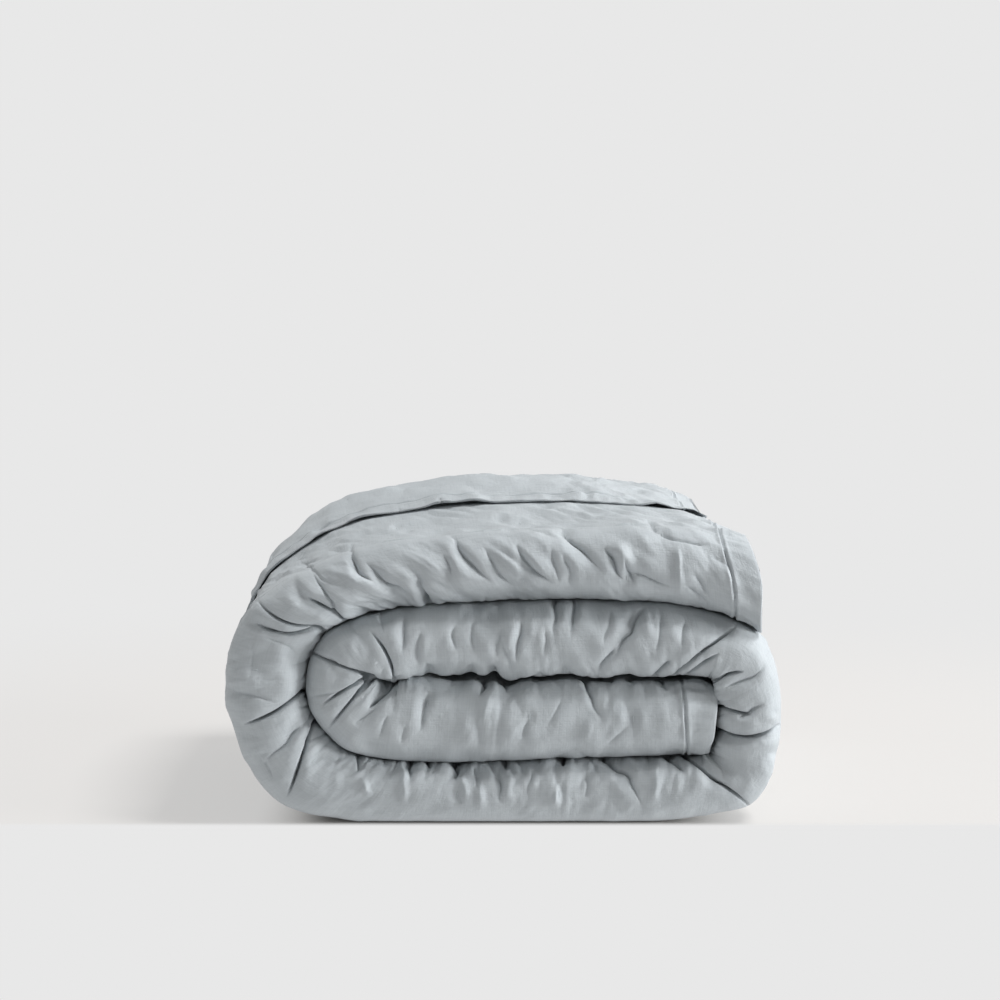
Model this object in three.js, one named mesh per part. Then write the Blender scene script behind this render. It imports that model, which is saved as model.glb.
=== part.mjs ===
// A linen quilt as it is put away: folded in six plies to a strip, and the strip wound up flat.
// Sizes are in millimetres, with +Z up. The strip's rounded front fold faces -Y, and the quilt
// stands on the flat underside of its outer turn. It is one sheet, so it is one solid.

import * as THREE from 'three';

const { lerp, smoothstep } = THREE.MathUtils;

// The sheet, and the strip that it is folded to.
const sheetWidth = 2440;
const pliesInStrip = 6;
const stripThickness = 78;
const plyGap = 1;
const foldReach = 38;

// The sheet's two long hems stop short of the front fold, and the plies make room for them there.
const outerHemSetback = 150;
const innerHemSetback = 190;
const roomForHemsFrom = 110;
const roomForHemsTo = 240;

// At the strip's two ends the filling stops and every ply thins to its flat hem.
const hemShare = 0.35;

// The top of the quilt is crowned behind its front fold, and flatter again towards the back.
const crownFrom = 40;
const crownTop = 280;
const crownBackShare = 0.45;

// The outer plies take the longer way round, so they end short of the inner ones at the outer end.
const outerPliesLag = 0.5;
const lagFromRow = 23;

// The spiral between the turns, seen from the front. Each row is a place on the way round, clockwise
// from the bottom right, and gives the x and z at which the spiral passes it on its first turn, at the
// core, then on its second turn, and then on the outside. The strip fills the room from one turn of
// the spiral to the next. steps is the number of sections from a row to the next one, and crown is how
// far the outside rises there behind the front fold.
const spiralRows = [
  { place: 'bottom right', core: [219, 144], second: [214, 68], outside: [209, 0], steps: 3, crown: 0 },
  { place: 'bottom', core: [100, 145], second: [100, 66], outside: [95, 0], steps: 1, crown: 0 },
  { place: 'bottom', core: [-10, 144], second: [-20, 61], outside: [-25, 0], steps: 1, crown: 0 },
  { place: 'bottom left', core: [-98, 145], second: [-105, 63], outside: [-150, 0], steps: 2, crown: 0 },
  { place: 'left, foot', core: [-127, 145.5], second: [-168, 79], outside: [-237, 26], steps: 2, crown: 0 },
  { place: 'left', core: [-131, 147], second: [-202, 134], outside: [-284, 126], steps: 2, crown: 0 },
  { place: 'left, top', core: [-127, 148.5], second: [-184, 194], outside: [-267, 211], steps: 2, crown: 16 },
  { place: 'top left', core: [-98, 149], second: [-110, 220], outside: [-168, 277], steps: 1, crown: 37 },
  { place: 'top', core: [-15, 150], second: [-20, 226], outside: [-60, 297], steps: 1, crown: 39 },
  { place: 'top', core: [100, 150], second: [85, 228], outside: [75, 305], steps: 1, crown: 31 },
  { place: 'top right', core: [206, 150], second: [195, 222], outside: [185, 306], steps: 2, crown: 11 },
  { place: 'right, top', core: [227, 142], second: [263, 194], outside: [251, 293], steps: 2, crown: -7 },
  { place: 'right', core: [232, 107], second: [287, 126], steps: 2 },
  { place: 'right, foot', core: [227, 68], second: [266, 27], steps: 2 },
];
const rowsPerTurn = spiralRows.length;
const outsideRows = spiralRows.filter((row) => row.outside);
const lastRow = rowsPerTurn + outsideRows.length - 1;

// Where one ply ends and the next begins, as shares of the strip's thickness from its inner face to its
// outer one. In front four plies fill the thickness, and behind the long hems six do.
const plyLimits = [
  { front: 0, back: 0 },
  { front: 1 / 4, back: 1 / 6 },
  { front: 2 / 4, back: 2 / 6 },
  { front: 3 / 4, back: 3 / 6 },
  { front: 1, back: 4 / 6 },
  { front: 1, back: 5 / 6 },
  { front: 1, back: 1 },
];

// The way round the cloth's cut section. The first six rows follow the face that shows, from the outer
// hem to the inner one, through plies 6, 1, 4, 3, 2 and 5. The last six follow the lining face back.
// Each row runs along one limit of its ply, and opposite is the ply's other limit.
const sectionRuns = [
  { limit: 6, opposite: 5, heading: 'back', from: outerHemSetback },
  { limit: 0, opposite: 1, heading: 'front' },
  { limit: 4, opposite: 3, heading: 'back' },
  { limit: 2, opposite: 3, heading: 'front' },
  { limit: 2, opposite: 1, heading: 'back' },
  { limit: 4, opposite: 5, heading: 'front', to: innerHemSetback },
  { limit: 5, opposite: 4, heading: 'back', from: innerHemSetback, lining: true },
  { limit: 1, opposite: 2, heading: 'front', lining: true },
  { limit: 3, opposite: 2, heading: 'back', lining: true },
  { limit: 3, opposite: 4, heading: 'front', lining: true },
  { limit: 1, opposite: 0, heading: 'back', lining: true },
  { limit: 5, opposite: 6, heading: 'front', to: outerHemSetback, lining: true },
];
const crownStop = 345;
const stopsAlongRun = [roomForHemsFrom, outerHemSetback, innerHemSetback, roomForHemsTo, crownStop];
const segmentsInWidestFold = 6;

// The sheet's width runs through six plies and five folds, and that settles how deep the strip is. The
// radii of the folds are in plies: three nested ones at the back, and two at the front, where the plies
// lie half as thick again.
const foldRadiiInPlies = [2.5, 1.5, 0.5, 2.25, 0.75];
const plyThickness = stripThickness / pliesInStrip;
const widthInFolds = foldRadiiInPlies.reduce((sum, radius) => sum + Math.PI * radius * plyThickness, 0);
const pliesWithFrontFold = pliesInStrip - 2;
const notInPlies = pliesWithFrontFold * foldReach + outerHemSetback + innerHemSetback;
const backFoldAt = (sheetWidth - widthInFolds + notInPlies) / pliesInStrip;

// How far the plies have made room for the hems at a depth behind the front fold, from 0 to 1.
function roomForHems(depth) {
  return smoothstep(depth, roomForHemsFrom, roomForHemsTo);
}

function limitShare(limit, depth) {
  return lerp(plyLimits[limit].front, plyLimits[limit].back, roomForHems(depth));
}

// The share at which one face of a ply lies: half a gap inside its limit, and on the lining face, where
// the hem thins the ply, closer to the opposite limit.
function faceShare(run, depth, thinning) {
  const inset = (Math.sign(run.opposite - run.limit) * plyGap) / 2 / stripThickness;
  const face = limitShare(run.limit, depth) + inset;
  const oppositeFace = limitShare(run.opposite, depth) - inset;
  return lerp(face, oppositeFace, run.lining ? thinning : 0);
}

// One run of the outline, as points of depth and share.
function runPoints(run, thinning) {
  const start = run.heading === 'back' ? run.from ?? foldReach : run.to ?? foldReach;
  const stops = stopsAlongRun.filter((stop) => stop > start);
  const depths = [start, ...stops, backFoldAt];
  if (run.heading === 'front') {
    depths.reverse();
  }
  return depths.map((depth) => ({ depth, share: faceShare(run, depth, thinning) }));
}

// The round of a fold from one run to the next, without its end points, which the runs already have.
function foldPoints(run, nextRun, before, after) {
  const middle = (before.share + after.share) / 2;
  const radius = (before.share - after.share) / 2;
  const reach = foldReach * Math.abs(2 * radius) * (run.heading === 'back' ? 1 : -1);
  const width = Math.abs(limitShare(run.limit, before.depth) - limitShare(nextRun.limit, before.depth));
  const segments = Math.max(2, Math.round(segmentsInWidestFold * Math.sqrt(width)));
  const points = [];
  for (let i = 1; i < segments; i += 1) {
    const angle = (Math.PI * i) / segments;
    const depth = before.depth + reach * Math.sin(angle);
    points.push({ depth, share: middle + radius * Math.cos(angle) });
  }
  return points;
}

// The closed outline of the folded cloth's section.
function sectionOutline(thinning) {
  const runs = sectionRuns.map((run) => runPoints(run, thinning));
  const outline = [];
  sectionRuns.forEach((run, index) => {
    outline.push(...runs[index]);
    const endsAtHem = run.to !== undefined;
    if (!endsAtHem) {
      outline.push(...foldPoints(run, sectionRuns[index + 1], runs[index].at(-1), runs[index + 1][0]));
    }
  });
  return outline;
}

const spiral = new THREE.CatmullRomCurve3(
  [
    ...spiralRows.map((row) => row.core),
    ...spiralRows.map((row) => row.second),
    ...outsideRows.map((row) => row.outside),
  ].map(([x, z]) => new THREE.Vector3(x, 0, z)),
  false,
  'centripetal',
);

// A point of the spiral by its row, counted on through the turns. The ground keeps it from going lower.
function spiralPoint(row) {
  const point = spiral.getPoint(row / (spiral.points.length - 1));
  point.z = Math.max(0, point.z);
  return point;
}

// The crown at a row, which only the outside has.
function crownAt(row) {
  const outsideRow = row - rowsPerTurn;
  if (outsideRow < 0) {
    return 0;
  }
  const before = outsideRows[Math.floor(outsideRow)];
  const after = outsideRows[Math.min(Math.ceil(outsideRow), outsideRows.length - 1)];
  return lerp(before.crown, after.crown, outsideRow % 1);
}

function crownShape(depth) {
  const rise = smoothstep(depth, crownFrom, crownTop);
  const fall = smoothstep(depth, crownTop, backFoldAt);
  return rise * lerp(1, crownBackShare, fall);
}

// Where a point of the outline lies in the winding, for a section at a row.
function placeInWinding({ depth, share }, row) {
  const nearOuterEnd = Math.max(0, (row - lagFromRow) / (lastRow - lagFromRow));
  const lag = outerPliesLag * nearOuterEnd * share * roomForHems(depth);
  const inner = spiralPoint(row - lag);
  const outer = spiralPoint(row - lag + rowsPerTurn);
  const across = outer.sub(inner);
  const crown = crownAt(row) * crownShape(depth);
  const stretch = share * (1 + crown / across.length());
  return new THREE.Vector3(inner.x + across.x * stretch, depth, inner.z + across.z * stretch);
}

// The rows at which sections stand, from the core's hem to the outer one.
function sectionRowsAlongStrip() {
  const rows = [];
  for (let row = 0; row < lastRow; row += 1) {
    const { steps } = spiralRows[row % rowsPerTurn];
    for (let step = 0; step < steps; step += 1) {
      rows.push(row + step / steps);
    }
  }
  return [...rows, lastRow];
}

// The skin between two neighbouring sections. Each square is split from its front corner on the first
// section to its back corner on the second one, so that faces that lie together are split alike.
function skinTriangles(outline, sectionCount) {
  const triangles = [];
  const count = outline.length;
  for (let section = 0; section + 1 < sectionCount; section += 1) {
    for (let i = 0; i < count; i += 1) {
      const next = (i + 1) % count;
      const [a, b] = [section * count + i, section * count + next];
      const [c, d] = [a + count, b + count];
      const headsBack = outline[next].depth > outline[i].depth;
      triangles.push(...(headsBack ? [a, d, b, a, c, d] : [a, c, b, b, c, d]));
    }
  }
  return triangles;
}

function endTriangles(outline, firstVertex, turned) {
  const contour = outline.map(({ depth, share }) => new THREE.Vector2(depth, share * stripThickness));
  return THREE.ShapeUtils.triangulateShape(contour, []).flatMap(([a, b, c]) =>
    (turned ? [a, c, b] : [a, b, c]).map((corner) => firstVertex + corner),
  );
}

function quiltGeometry() {
  const rows = sectionRowsAlongStrip();
  const positions = [];
  for (const row of rows) {
    const atEnd = row === 0 || row === lastRow;
    for (const point of sectionOutline(atEnd ? 1 - hemShare : 0)) {
      positions.push(...placeInWinding(point, row).toArray());
    }
  }
  const outline = sectionOutline(1 - hemShare);
  const lastSection = (rows.length - 1) * outline.length;
  const geometry = new THREE.BufferGeometry();
  geometry.setAttribute('position', new THREE.Float32BufferAttribute(positions, 3));
  geometry.setIndex([
    ...skinTriangles(outline, rows.length),
    ...endTriangles(outline, 0, true),
    ...endTriangles(outline, lastSection, false),
  ]);
  geometry.computeVertexNormals();
  geometry.computeBoundingBox();
  return geometry;
}

const linen = new THREE.MeshStandardMaterial({ color: 0xb4bcc2, roughness: 0.9, metalness: 0 });

const quilt = new THREE.Mesh(quiltGeometry(), linen);
quilt.name = 'quilt';

// The origin is on the surface that the quilt rests on, under the middle of its box.
const middle = quilt.geometry.boundingBox.getCenter(new THREE.Vector3());
quilt.position.set(-middle.x, -middle.y, -quilt.geometry.boundingBox.min.z);

const foldedQuilt = new THREE.Group();
foldedQuilt.add(quilt);

export default foldedQuilt;
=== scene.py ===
# %% [markdown]
# A filled linen quilt, folded in six plies and wound up flat for a little under two turns. The lesson
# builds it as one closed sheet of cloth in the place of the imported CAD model, then adds its stitches,
# its linen and a plain studio. Lengths are in millimetres while the sheet is worked out, and in metres
# in Blender.

from collections import namedtuple
from math import cos, pi, radians, sin

import bpy
import numpy as np
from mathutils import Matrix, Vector
from mathutils.geometry import tessellate_polygon


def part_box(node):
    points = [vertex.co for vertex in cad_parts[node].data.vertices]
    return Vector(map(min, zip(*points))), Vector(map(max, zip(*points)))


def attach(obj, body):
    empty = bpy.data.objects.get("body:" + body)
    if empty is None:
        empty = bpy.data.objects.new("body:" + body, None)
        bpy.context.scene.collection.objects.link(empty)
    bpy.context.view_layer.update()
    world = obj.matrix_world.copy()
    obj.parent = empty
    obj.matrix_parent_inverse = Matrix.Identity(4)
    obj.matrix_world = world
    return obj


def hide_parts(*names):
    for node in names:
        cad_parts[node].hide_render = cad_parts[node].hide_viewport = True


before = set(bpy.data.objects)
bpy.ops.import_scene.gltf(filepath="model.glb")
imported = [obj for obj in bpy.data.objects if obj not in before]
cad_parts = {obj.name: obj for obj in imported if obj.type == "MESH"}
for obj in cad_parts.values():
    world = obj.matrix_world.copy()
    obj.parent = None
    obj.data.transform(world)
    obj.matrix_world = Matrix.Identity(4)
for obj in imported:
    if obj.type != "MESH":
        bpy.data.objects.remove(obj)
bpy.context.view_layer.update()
MM = 0.001
quilt_lowest, quilt_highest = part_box("quilt")
print("CAD quilt from", tuple(quilt_lowest), "to", tuple(quilt_highest))

# %% [markdown]
# The camera stands low in front of the quilt with a long lens, and looks down a little. Every crease
# that shows is placed as the camera sees it: in millimetres to the right of the picture's middle and
# above the ground line. These are sizes at the distance at which the camera stands before the quilt,
# so they are nearly true ones at its front, and one of them is one pixel of a picture 1000 pixels wide.

# %% Camera
CAMERA_HEIGHT = 599
CAMERA_BEFORE_QUILT = 2500
CAMERA_RIGHT = -1
CAMERA_PITCH = radians(6)
LENS_MM = 90
SENSOR_MM = 36
SEEN_SCALE = CAMERA_BEFORE_QUILT
MIDDLE_ABOVE_GROUND = 320

camera_place = np.array([CAMERA_RIGHT, quilt_lowest.y / MM - CAMERA_BEFORE_QUILT, CAMERA_HEIGHT])
camera = bpy.data.objects.new("camera", bpy.data.cameras.new("camera"))
bpy.context.scene.collection.objects.link(camera)
camera.data.lens = LENS_MM
camera.data.sensor_width = SENSOR_MM
camera.location = camera_place * MM
camera.rotation_euler = (pi / 2 - CAMERA_PITCH, 0, 0)
bpy.context.scene.camera = camera


def as_seen(points):
    """Where the camera sees points, as x to the right of the middle and z above the ground line."""
    offset = points - camera_place
    ahead = offset[..., 1] * cos(CAMERA_PITCH) - offset[..., 2] * sin(CAMERA_PITCH)
    up = offset[..., 1] * sin(CAMERA_PITCH) + offset[..., 2] * cos(CAMERA_PITCH)
    return SEEN_SCALE * offset[..., 0] / ahead, MIDDLE_ABOVE_GROUND + SEEN_SCALE * up / ahead


print("camera", CAMERA_BEFORE_QUILT, "mm before the quilt and", CAMERA_HEIGHT, "mm high")

# %% [markdown]
# The wound strip fills the room between neighbouring turns of one spiral. The spiral is a smooth
# curve through three turns of points, given here clockwise from the bottom right, first for the core,
# then for the second turn and the outside. Its centripetal form keeps it close to uneven points.

# %% Spiral between the turns
SpiralRow = namedtuple("SpiralRow", "core second outside")
SPIRAL_ROWS = [
    SpiralRow((219, 144), (214, 68), (209, 0)),
    SpiralRow((100, 145), (100, 66), (95, 0)),
    SpiralRow((-10, 144), (-20, 61), (-25, 0)),
    SpiralRow((-98, 145), (-105, 63), (-150, 0)),
    SpiralRow((-127, 145.5), (-168, 79), (-237, 26)),
    SpiralRow((-131, 147), (-202, 134), (-284, 126)),
    SpiralRow((-127, 148.5), (-184, 194), (-267, 211)),
    SpiralRow((-98, 149), (-110, 220), (-168, 277)),
    SpiralRow((-15, 150), (-20, 226), (-60, 297)),
    SpiralRow((100, 150), (85, 228), (75, 305)),
    SpiralRow((206, 150), (195, 222), (185, 306)),
    SpiralRow((227, 142), (263, 194), (251, 293)),
    SpiralRow((232, 107), (287, 126), None),
    SpiralRow((227, 68), (266, 27), None),
]
ROWS_PER_TURN = len(SPIRAL_ROWS)
OUTSIDE = [row for row in SPIRAL_ROWS if row.outside]
LAST_ROW = ROWS_PER_TURN + len(OUTSIDE) - 1
CENTRIPETAL_POWER = 0.25

spiral_knots = np.array(
    [row.core for row in SPIRAL_ROWS]
    + [row.second for row in SPIRAL_ROWS]
    + [row.outside for row in OUTSIDE],
    float,
)


def smooth_step(value, low, high):
    share = np.clip((value - low) / (high - low), 0, 1)
    return share * share * (3 - 2 * share)


def blend(first, second, share):
    return first + (second - first) * share


def spiral_point(row):
    """Points x and z of the centripetal Catmull-Rom curve through the knots, by their row."""
    before = 2 * spiral_knots[:1] - spiral_knots[1:2]
    after = 2 * spiral_knots[-1:] - spiral_knots[-2:-1]
    knots = np.concatenate([before, spiral_knots, after])
    start = np.clip(np.floor(row).astype(int), 0, len(spiral_knots) - 2)
    way = (row - start)[..., None]
    a, b, c, d = (knots[start + i] for i in range(4))
    first, middle, last = (
        (((q - p) ** 2).sum(-1) ** CENTRIPETAL_POWER)[..., None] for p, q in ((a, b), (b, c), (c, d))
    )
    leave = middle * ((b - a) / first - (c - a) / (first + middle) + (c - b) / middle)
    arrive = middle * ((c - b) / middle - (d - b) / (middle + last) + (d - c) / last)
    square = -3 * b + 3 * c - 2 * leave - arrive
    cube = 2 * b - 2 * c + leave + arrive
    point = b + leave * way + square * way**2 + cube * way**3
    point[..., 1] = np.maximum(point[..., 1], 0)
    return point


print("spiral through", len(spiral_knots), "points")

# %% [markdown]
# The sheet is folded in half and then in thirds, so the strip has six plies, and its two long hems
# lie behind the front fold. The outline of the cut strip is one closed line: along the face that
# shows from the outer hem to the inner one, and back along the lining face. Each run follows one
# limit of a ply. Where the cloth shows, its points are close together, and inside they are few. The
# crowns say how far the top rises behind the front fold, at rows of the outside.

# %% Runs of the folded cloth
SHEET_WIDTH = 2440
PLIES = 6
STRIP_THICKNESS = 78
PLY_GAP = 1
FOLD_REACH = 38
OUTER_HEM_SETBACK = 150
INNER_HEM_SETBACK = 190
ROOM_FROM = 110
ROOM_TO = 240
CROWN_FROM = 40
CROWN_TOP = 280
CROWN_BACK_SHARE = 0.45
Crown = namedtuple("Crown", "row rise")
CROWNS = [
    Crown(3, 0),
    Crown(4, -4),
    Crown(5, -8),
    Crown(6, -4),
    Crown(6.12, 2),
    Crown(6.35, 21),
    Crown(6.7, 31),
    Crown(7, 37),
    Crown(8, 39),
    Crown(9, 31),
    Crown(10, 11),
    Crown(11, -7),
]
FOLD_RADII_IN_PLIES = (2.5, 1.5, 0.5, 2.25, 0.75)
FRONT_FULLNESS = 2.3

ply = STRIP_THICKNESS / PLIES
width_in_folds = sum(pi * radius * ply for radius in FOLD_RADII_IN_PLIES)
not_in_plies = (PLIES - 2) * FOLD_REACH + OUTER_HEM_SETBACK + INNER_HEM_SETBACK
BACK_FOLD_AT = (SHEET_WIDTH - width_in_folds + not_in_plies) / PLIES

FRONT_LIMITS = np.array([0, 1 / 4, 2 / 4, 3 / 4, 1, 1, 1])
BACK_LIMITS = np.arange(PLIES + 1) / PLIES
PLIES_SINK = (150, 250)
FLAP_RISE = {5: 0.6, 6: 3.4}
HIDDEN_STOPS = (110, 150, 190, 240, 345)
HEM_STOPS = (151, 153, 156, 160, 165, 170, 174, 177, 178.5, 180, 181.5, 183, 186, 190)
FLAP_STOPS = (*HEM_STOPS, *range(195, 260, 5), *range(260, 437, 8))
CORE_STOPS = (40, 42.5, 45, 48, 52, 57, 63, 70, 80, 92, *HIDDEN_STOPS)
TOP_STOPS = (*np.arange(40, 80, 2.5), *range(80, 158, 3), 165, 175, 190, 240, 345)
FLAP_LINING_STOPS = (152, 156, 165, 177, *HIDDEN_STOPS)

Run = namedtuple("Run", "name limit opposite heading start lining stops folds")
RUNS = [
    Run("flap", 6, 5, "back", OUTER_HEM_SETBACK, False, FLAP_STOPS, 26),
    Run("core face", 0, 1, "front", FOLD_REACH, False, CORE_STOPS, 150),
    Run("top face", 4, 3, "back", FOLD_REACH, False, TOP_STOPS, 4),
    Run("inside", 2, 3, "front", FOLD_REACH, False, HIDDEN_STOPS, 2),
    Run("inside", 2, 1, "back", FOLD_REACH, False, HIDDEN_STOPS, 4),
    Run("inside", 4, 5, "front", INNER_HEM_SETBACK, False, HIDDEN_STOPS, 0),
    Run("inside", 5, 4, "back", INNER_HEM_SETBACK, True, HIDDEN_STOPS, 4),
    Run("inside", 1, 2, "front", FOLD_REACH, True, HIDDEN_STOPS, 5),
    Run("inside", 3, 2, "back", FOLD_REACH, True, HIDDEN_STOPS, 2),
    Run("inside", 3, 4, "front", FOLD_REACH, True, HIDDEN_STOPS, 6),
    Run("inside", 1, 0, "back", FOLD_REACH, True, HIDDEN_STOPS, 6),
    Run("flap lining", 5, 6, "front", OUTER_HEM_SETBACK, True, FLAP_LINING_STOPS, 0),
]
FINE_PARTS = ("flap", "back fold", "core face", "front fold", "top face")
print("fold at the back at", round(BACK_FOLD_AT, 1), "mm")

# %% [markdown]
# A run's points lie on its limit, and round folds join one run to the next. The front fold is a little
# fuller than a half circle, as a filled one is. Towards the ends of the strip every ply thins: its
# lining face closes up on its other face.

# %% Outline of the folded cloth


def room_for_hems(depth):
    return smooth_step(depth, ROOM_FROM, ROOM_TO)


def limit_share(limit, depth):
    """The share at which a limit lies. The outermost ply's hem lies on top of the ply below it."""
    share = blend(FRONT_LIMITS[limit], BACK_LIMITS[limit], smooth_step(depth, *PLIES_SINK))
    rise = FLAP_RISE.get(limit, 0) / STRIP_THICKNESS
    return share + rise * (1 - smooth_step(depth, OUTER_HEM_SETBACK, PLIES_SINK[1]))


def run_points(run, thinning):
    """One run's points as depth and share of the strip's thickness."""
    inset = np.sign(run.opposite - run.limit) * PLY_GAP / 2 / STRIP_THICKNESS
    depths = np.array([run.start, *(stop for stop in run.stops if stop > run.start), BACK_FOLD_AT])
    if run.heading == "front":
        depths = depths[::-1]
    face = limit_share(run.limit, depths) + inset
    other_face = limit_share(run.opposite, depths) - inset
    shares = blend(face, other_face, thinning if run.lining else 0)
    return np.stack([depths, shares], 1)


def fold_points(run, before, after, fullness):
    """The round of a fold between two runs, without its end points."""
    middle = (before[1] + after[1]) / 2
    radius = (before[1] - after[1]) / 2
    reach = FOLD_REACH * abs(2 * radius) * (1 if run.heading == "back" else -1)
    angle = pi * np.arange(1, run.folds) / run.folds
    power = 2 / fullness
    round_out = np.abs(np.sin(angle)) ** power
    round_across = np.sign(np.cos(angle)) * np.abs(np.cos(angle)) ** power
    return np.stack([before[0] + reach * round_out, middle + radius * round_across], 1)


def outline_points(thinning):
    """The closed outline with the name of the part that each point belongs to."""
    parts = []
    names = []
    runs = [run_points(run, thinning) for run in RUNS]
    for index, run in enumerate(RUNS):
        parts.append(runs[index])
        names += [run.name] * len(runs[index])
        if run.folds:
            name = {"flap": "back fold", "core face": "front fold"}.get(run.name, "inside")
            fullness = FRONT_FULLNESS if name == "front fold" else 2
            fold = fold_points(run, runs[index][-1], runs[index + 1][0], fullness)
            parts.append(fold)
            names += [name] * len(fold)
    return np.concatenate(parts), np.array(names)


full_outline, part_names = outline_points(0)
print("outline points", len(full_outline))

# %% [markdown]
# Sections of that outline stand close together all along the strip, and each one is laid between
# the turns of the spiral. Near both ends the filling stops, and every ply thins to its flat hem.
# Sections stand closest where the cloth turns and at the hems, where the creases are sharpest.

# %% Sections along the strip
HEM_SHARE = 0.43
HEM_BAND = 30
FILLING_STARTS = 58
STATION_SPACING = 1.1
FINER_NEAR_ENDS = [(0, 3, 0.8), (24, 37, 0.8)]
FINER_TURNS = [(3, 7.2, 0.6), (10, 14.2, 0.6), (14.2, 15.6, 0.8), (17, 20.8, 0.6)]
HIDDEN_BEFORE_ROW = 10.5
COARSE_EVERY = 8
OUTER_PLIES_LAG = 0.5
LAG_FROM_ROW = 23
DENSE_ROWS = 8001
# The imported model's box is centred over the origin, and this moves the winding along with it.
PLACE_OFFSET = np.array([1.496, quilt_lowest.y / MM - 0.487, -0.391])

dense_rows = np.linspace(0, LAST_ROW, DENSE_ROWS)
middle_line = (spiral_point(dense_rows) + spiral_point(dense_rows + ROWS_PER_TURN)) / 2
steps = np.linalg.norm(np.diff(middle_line, axis=0), axis=1)
distance = np.concatenate([[0], np.cumsum(steps)])
strip_length = distance[-1]
spacing = np.full(dense_rows.shape, STATION_SPACING)
dense_to_end = np.minimum(distance, strip_length - distance)
for near, far, finer in FINER_NEAR_ENDS:
    spacing[(dense_to_end >= near) & (dense_to_end <= far)] = finer
for from_row, to_row, finer in FINER_TURNS:
    spacing[(dense_rows >= from_row) & (dense_rows <= to_row)] = finer
sections_passed = np.concatenate([[0], np.cumsum(steps / spacing[1:])])
section_count = COARSE_EVERY * round(sections_passed[-1] / COARSE_EVERY) + 1
along = np.interp(np.linspace(0, sections_passed[-1], section_count), sections_passed, distance)
rows = np.interp(along, distance, dense_rows)
print("strip length", round(strip_length), "mm in", section_count, "sections")

to_end = np.minimum(along, strip_length - along)
thinning = (1 - HEM_SHARE) * (1 - smooth_step(to_end, HEM_BAND, FILLING_STARTS))
thin_outline, _ = outline_points(1)
depth = blend(full_outline[:, 0], thin_outline[:, 0], thinning[:, None])
share = blend(full_outline[:, 1], thin_outline[:, 1], thinning[:, None])

crown_rows, crown_rises = np.array(CROWNS).T


def crown_at(row, depth):
    """How far the top rises at a row and a depth, which only the outside does."""
    rise = smooth_step(depth, CROWN_FROM, CROWN_TOP)
    fall = smooth_step(depth, CROWN_TOP, BACK_FOLD_AT)
    height = np.interp(row - ROWS_PER_TURN, crown_rows, crown_rises)
    return height * (row >= ROWS_PER_TURN) * rise * blend(1, CROWN_BACK_SHARE, fall)


def place_in_winding(row, depth, share):
    """Points of the outline, laid between the turns of the spiral at a row."""
    near_end = np.maximum(0, (row - LAG_FROM_ROW) / (LAST_ROW - LAG_FROM_ROW))
    top_ply = np.isin(part_names, ("flap", "flap lining"))[None, :]
    held_back = row - OUTER_PLIES_LAG * near_end * share * np.where(top_ply, 1, room_for_hems(depth))
    inner = spiral_point(held_back)
    across = spiral_point(held_back + ROWS_PER_TURN) - inner
    width = np.linalg.norm(across, axis=-1)
    stretch = share * (1 + crown_at(row, depth) / width)
    flat = inner + across * stretch[..., None]
    return np.stack([flat[..., 0], depth, flat[..., 1]], -1) + PLACE_OFFSET, across / width[..., None]


row_grid = np.broadcast_to(rows[:, None], depth.shape)
base, outward_flat = place_in_winding(row_grid, depth, share)
outward = np.stack([outward_flat[..., 0], np.zeros_like(depth), outward_flat[..., 1]], -1)
print("sections laid", base.shape)

# %% [markdown]
# Creases are pushed along the surface's own direction, which is worked out from neighbouring
# points. The outline runs the other way round from the sections, so the cross product points out.

# %% Directions of the surface
SHORTEST = 1e-9


def surface_normals(grid):
    """The way out of the cloth at each point of a grid of sections."""
    around = np.roll(grid, -1, axis=1) - np.roll(grid, 1, axis=1)
    lengthwise = np.gradient(grid, axis=0)
    normal = np.cross(lengthwise, around)
    return normal / np.maximum(np.linalg.norm(normal, axis=-1, keepdims=True), SHORTEST)


towards_front = surface_normals(base)[:, part_names == "front fold"][:, :, 1].mean()
print("front fold faces", round(float(towards_front), 2), "(towards the camera is negative)")

# %% [markdown]
# Where the plies meet in front, their seam isn't straight: fuller places push it up and down. Each
# nudge moves the cloth of both plies near one place of the front, as seen by the camera. The long
# seams are followed through a few points each, and the cloth beside them is set back, which keeps the
# gap between the turns dark.

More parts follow.
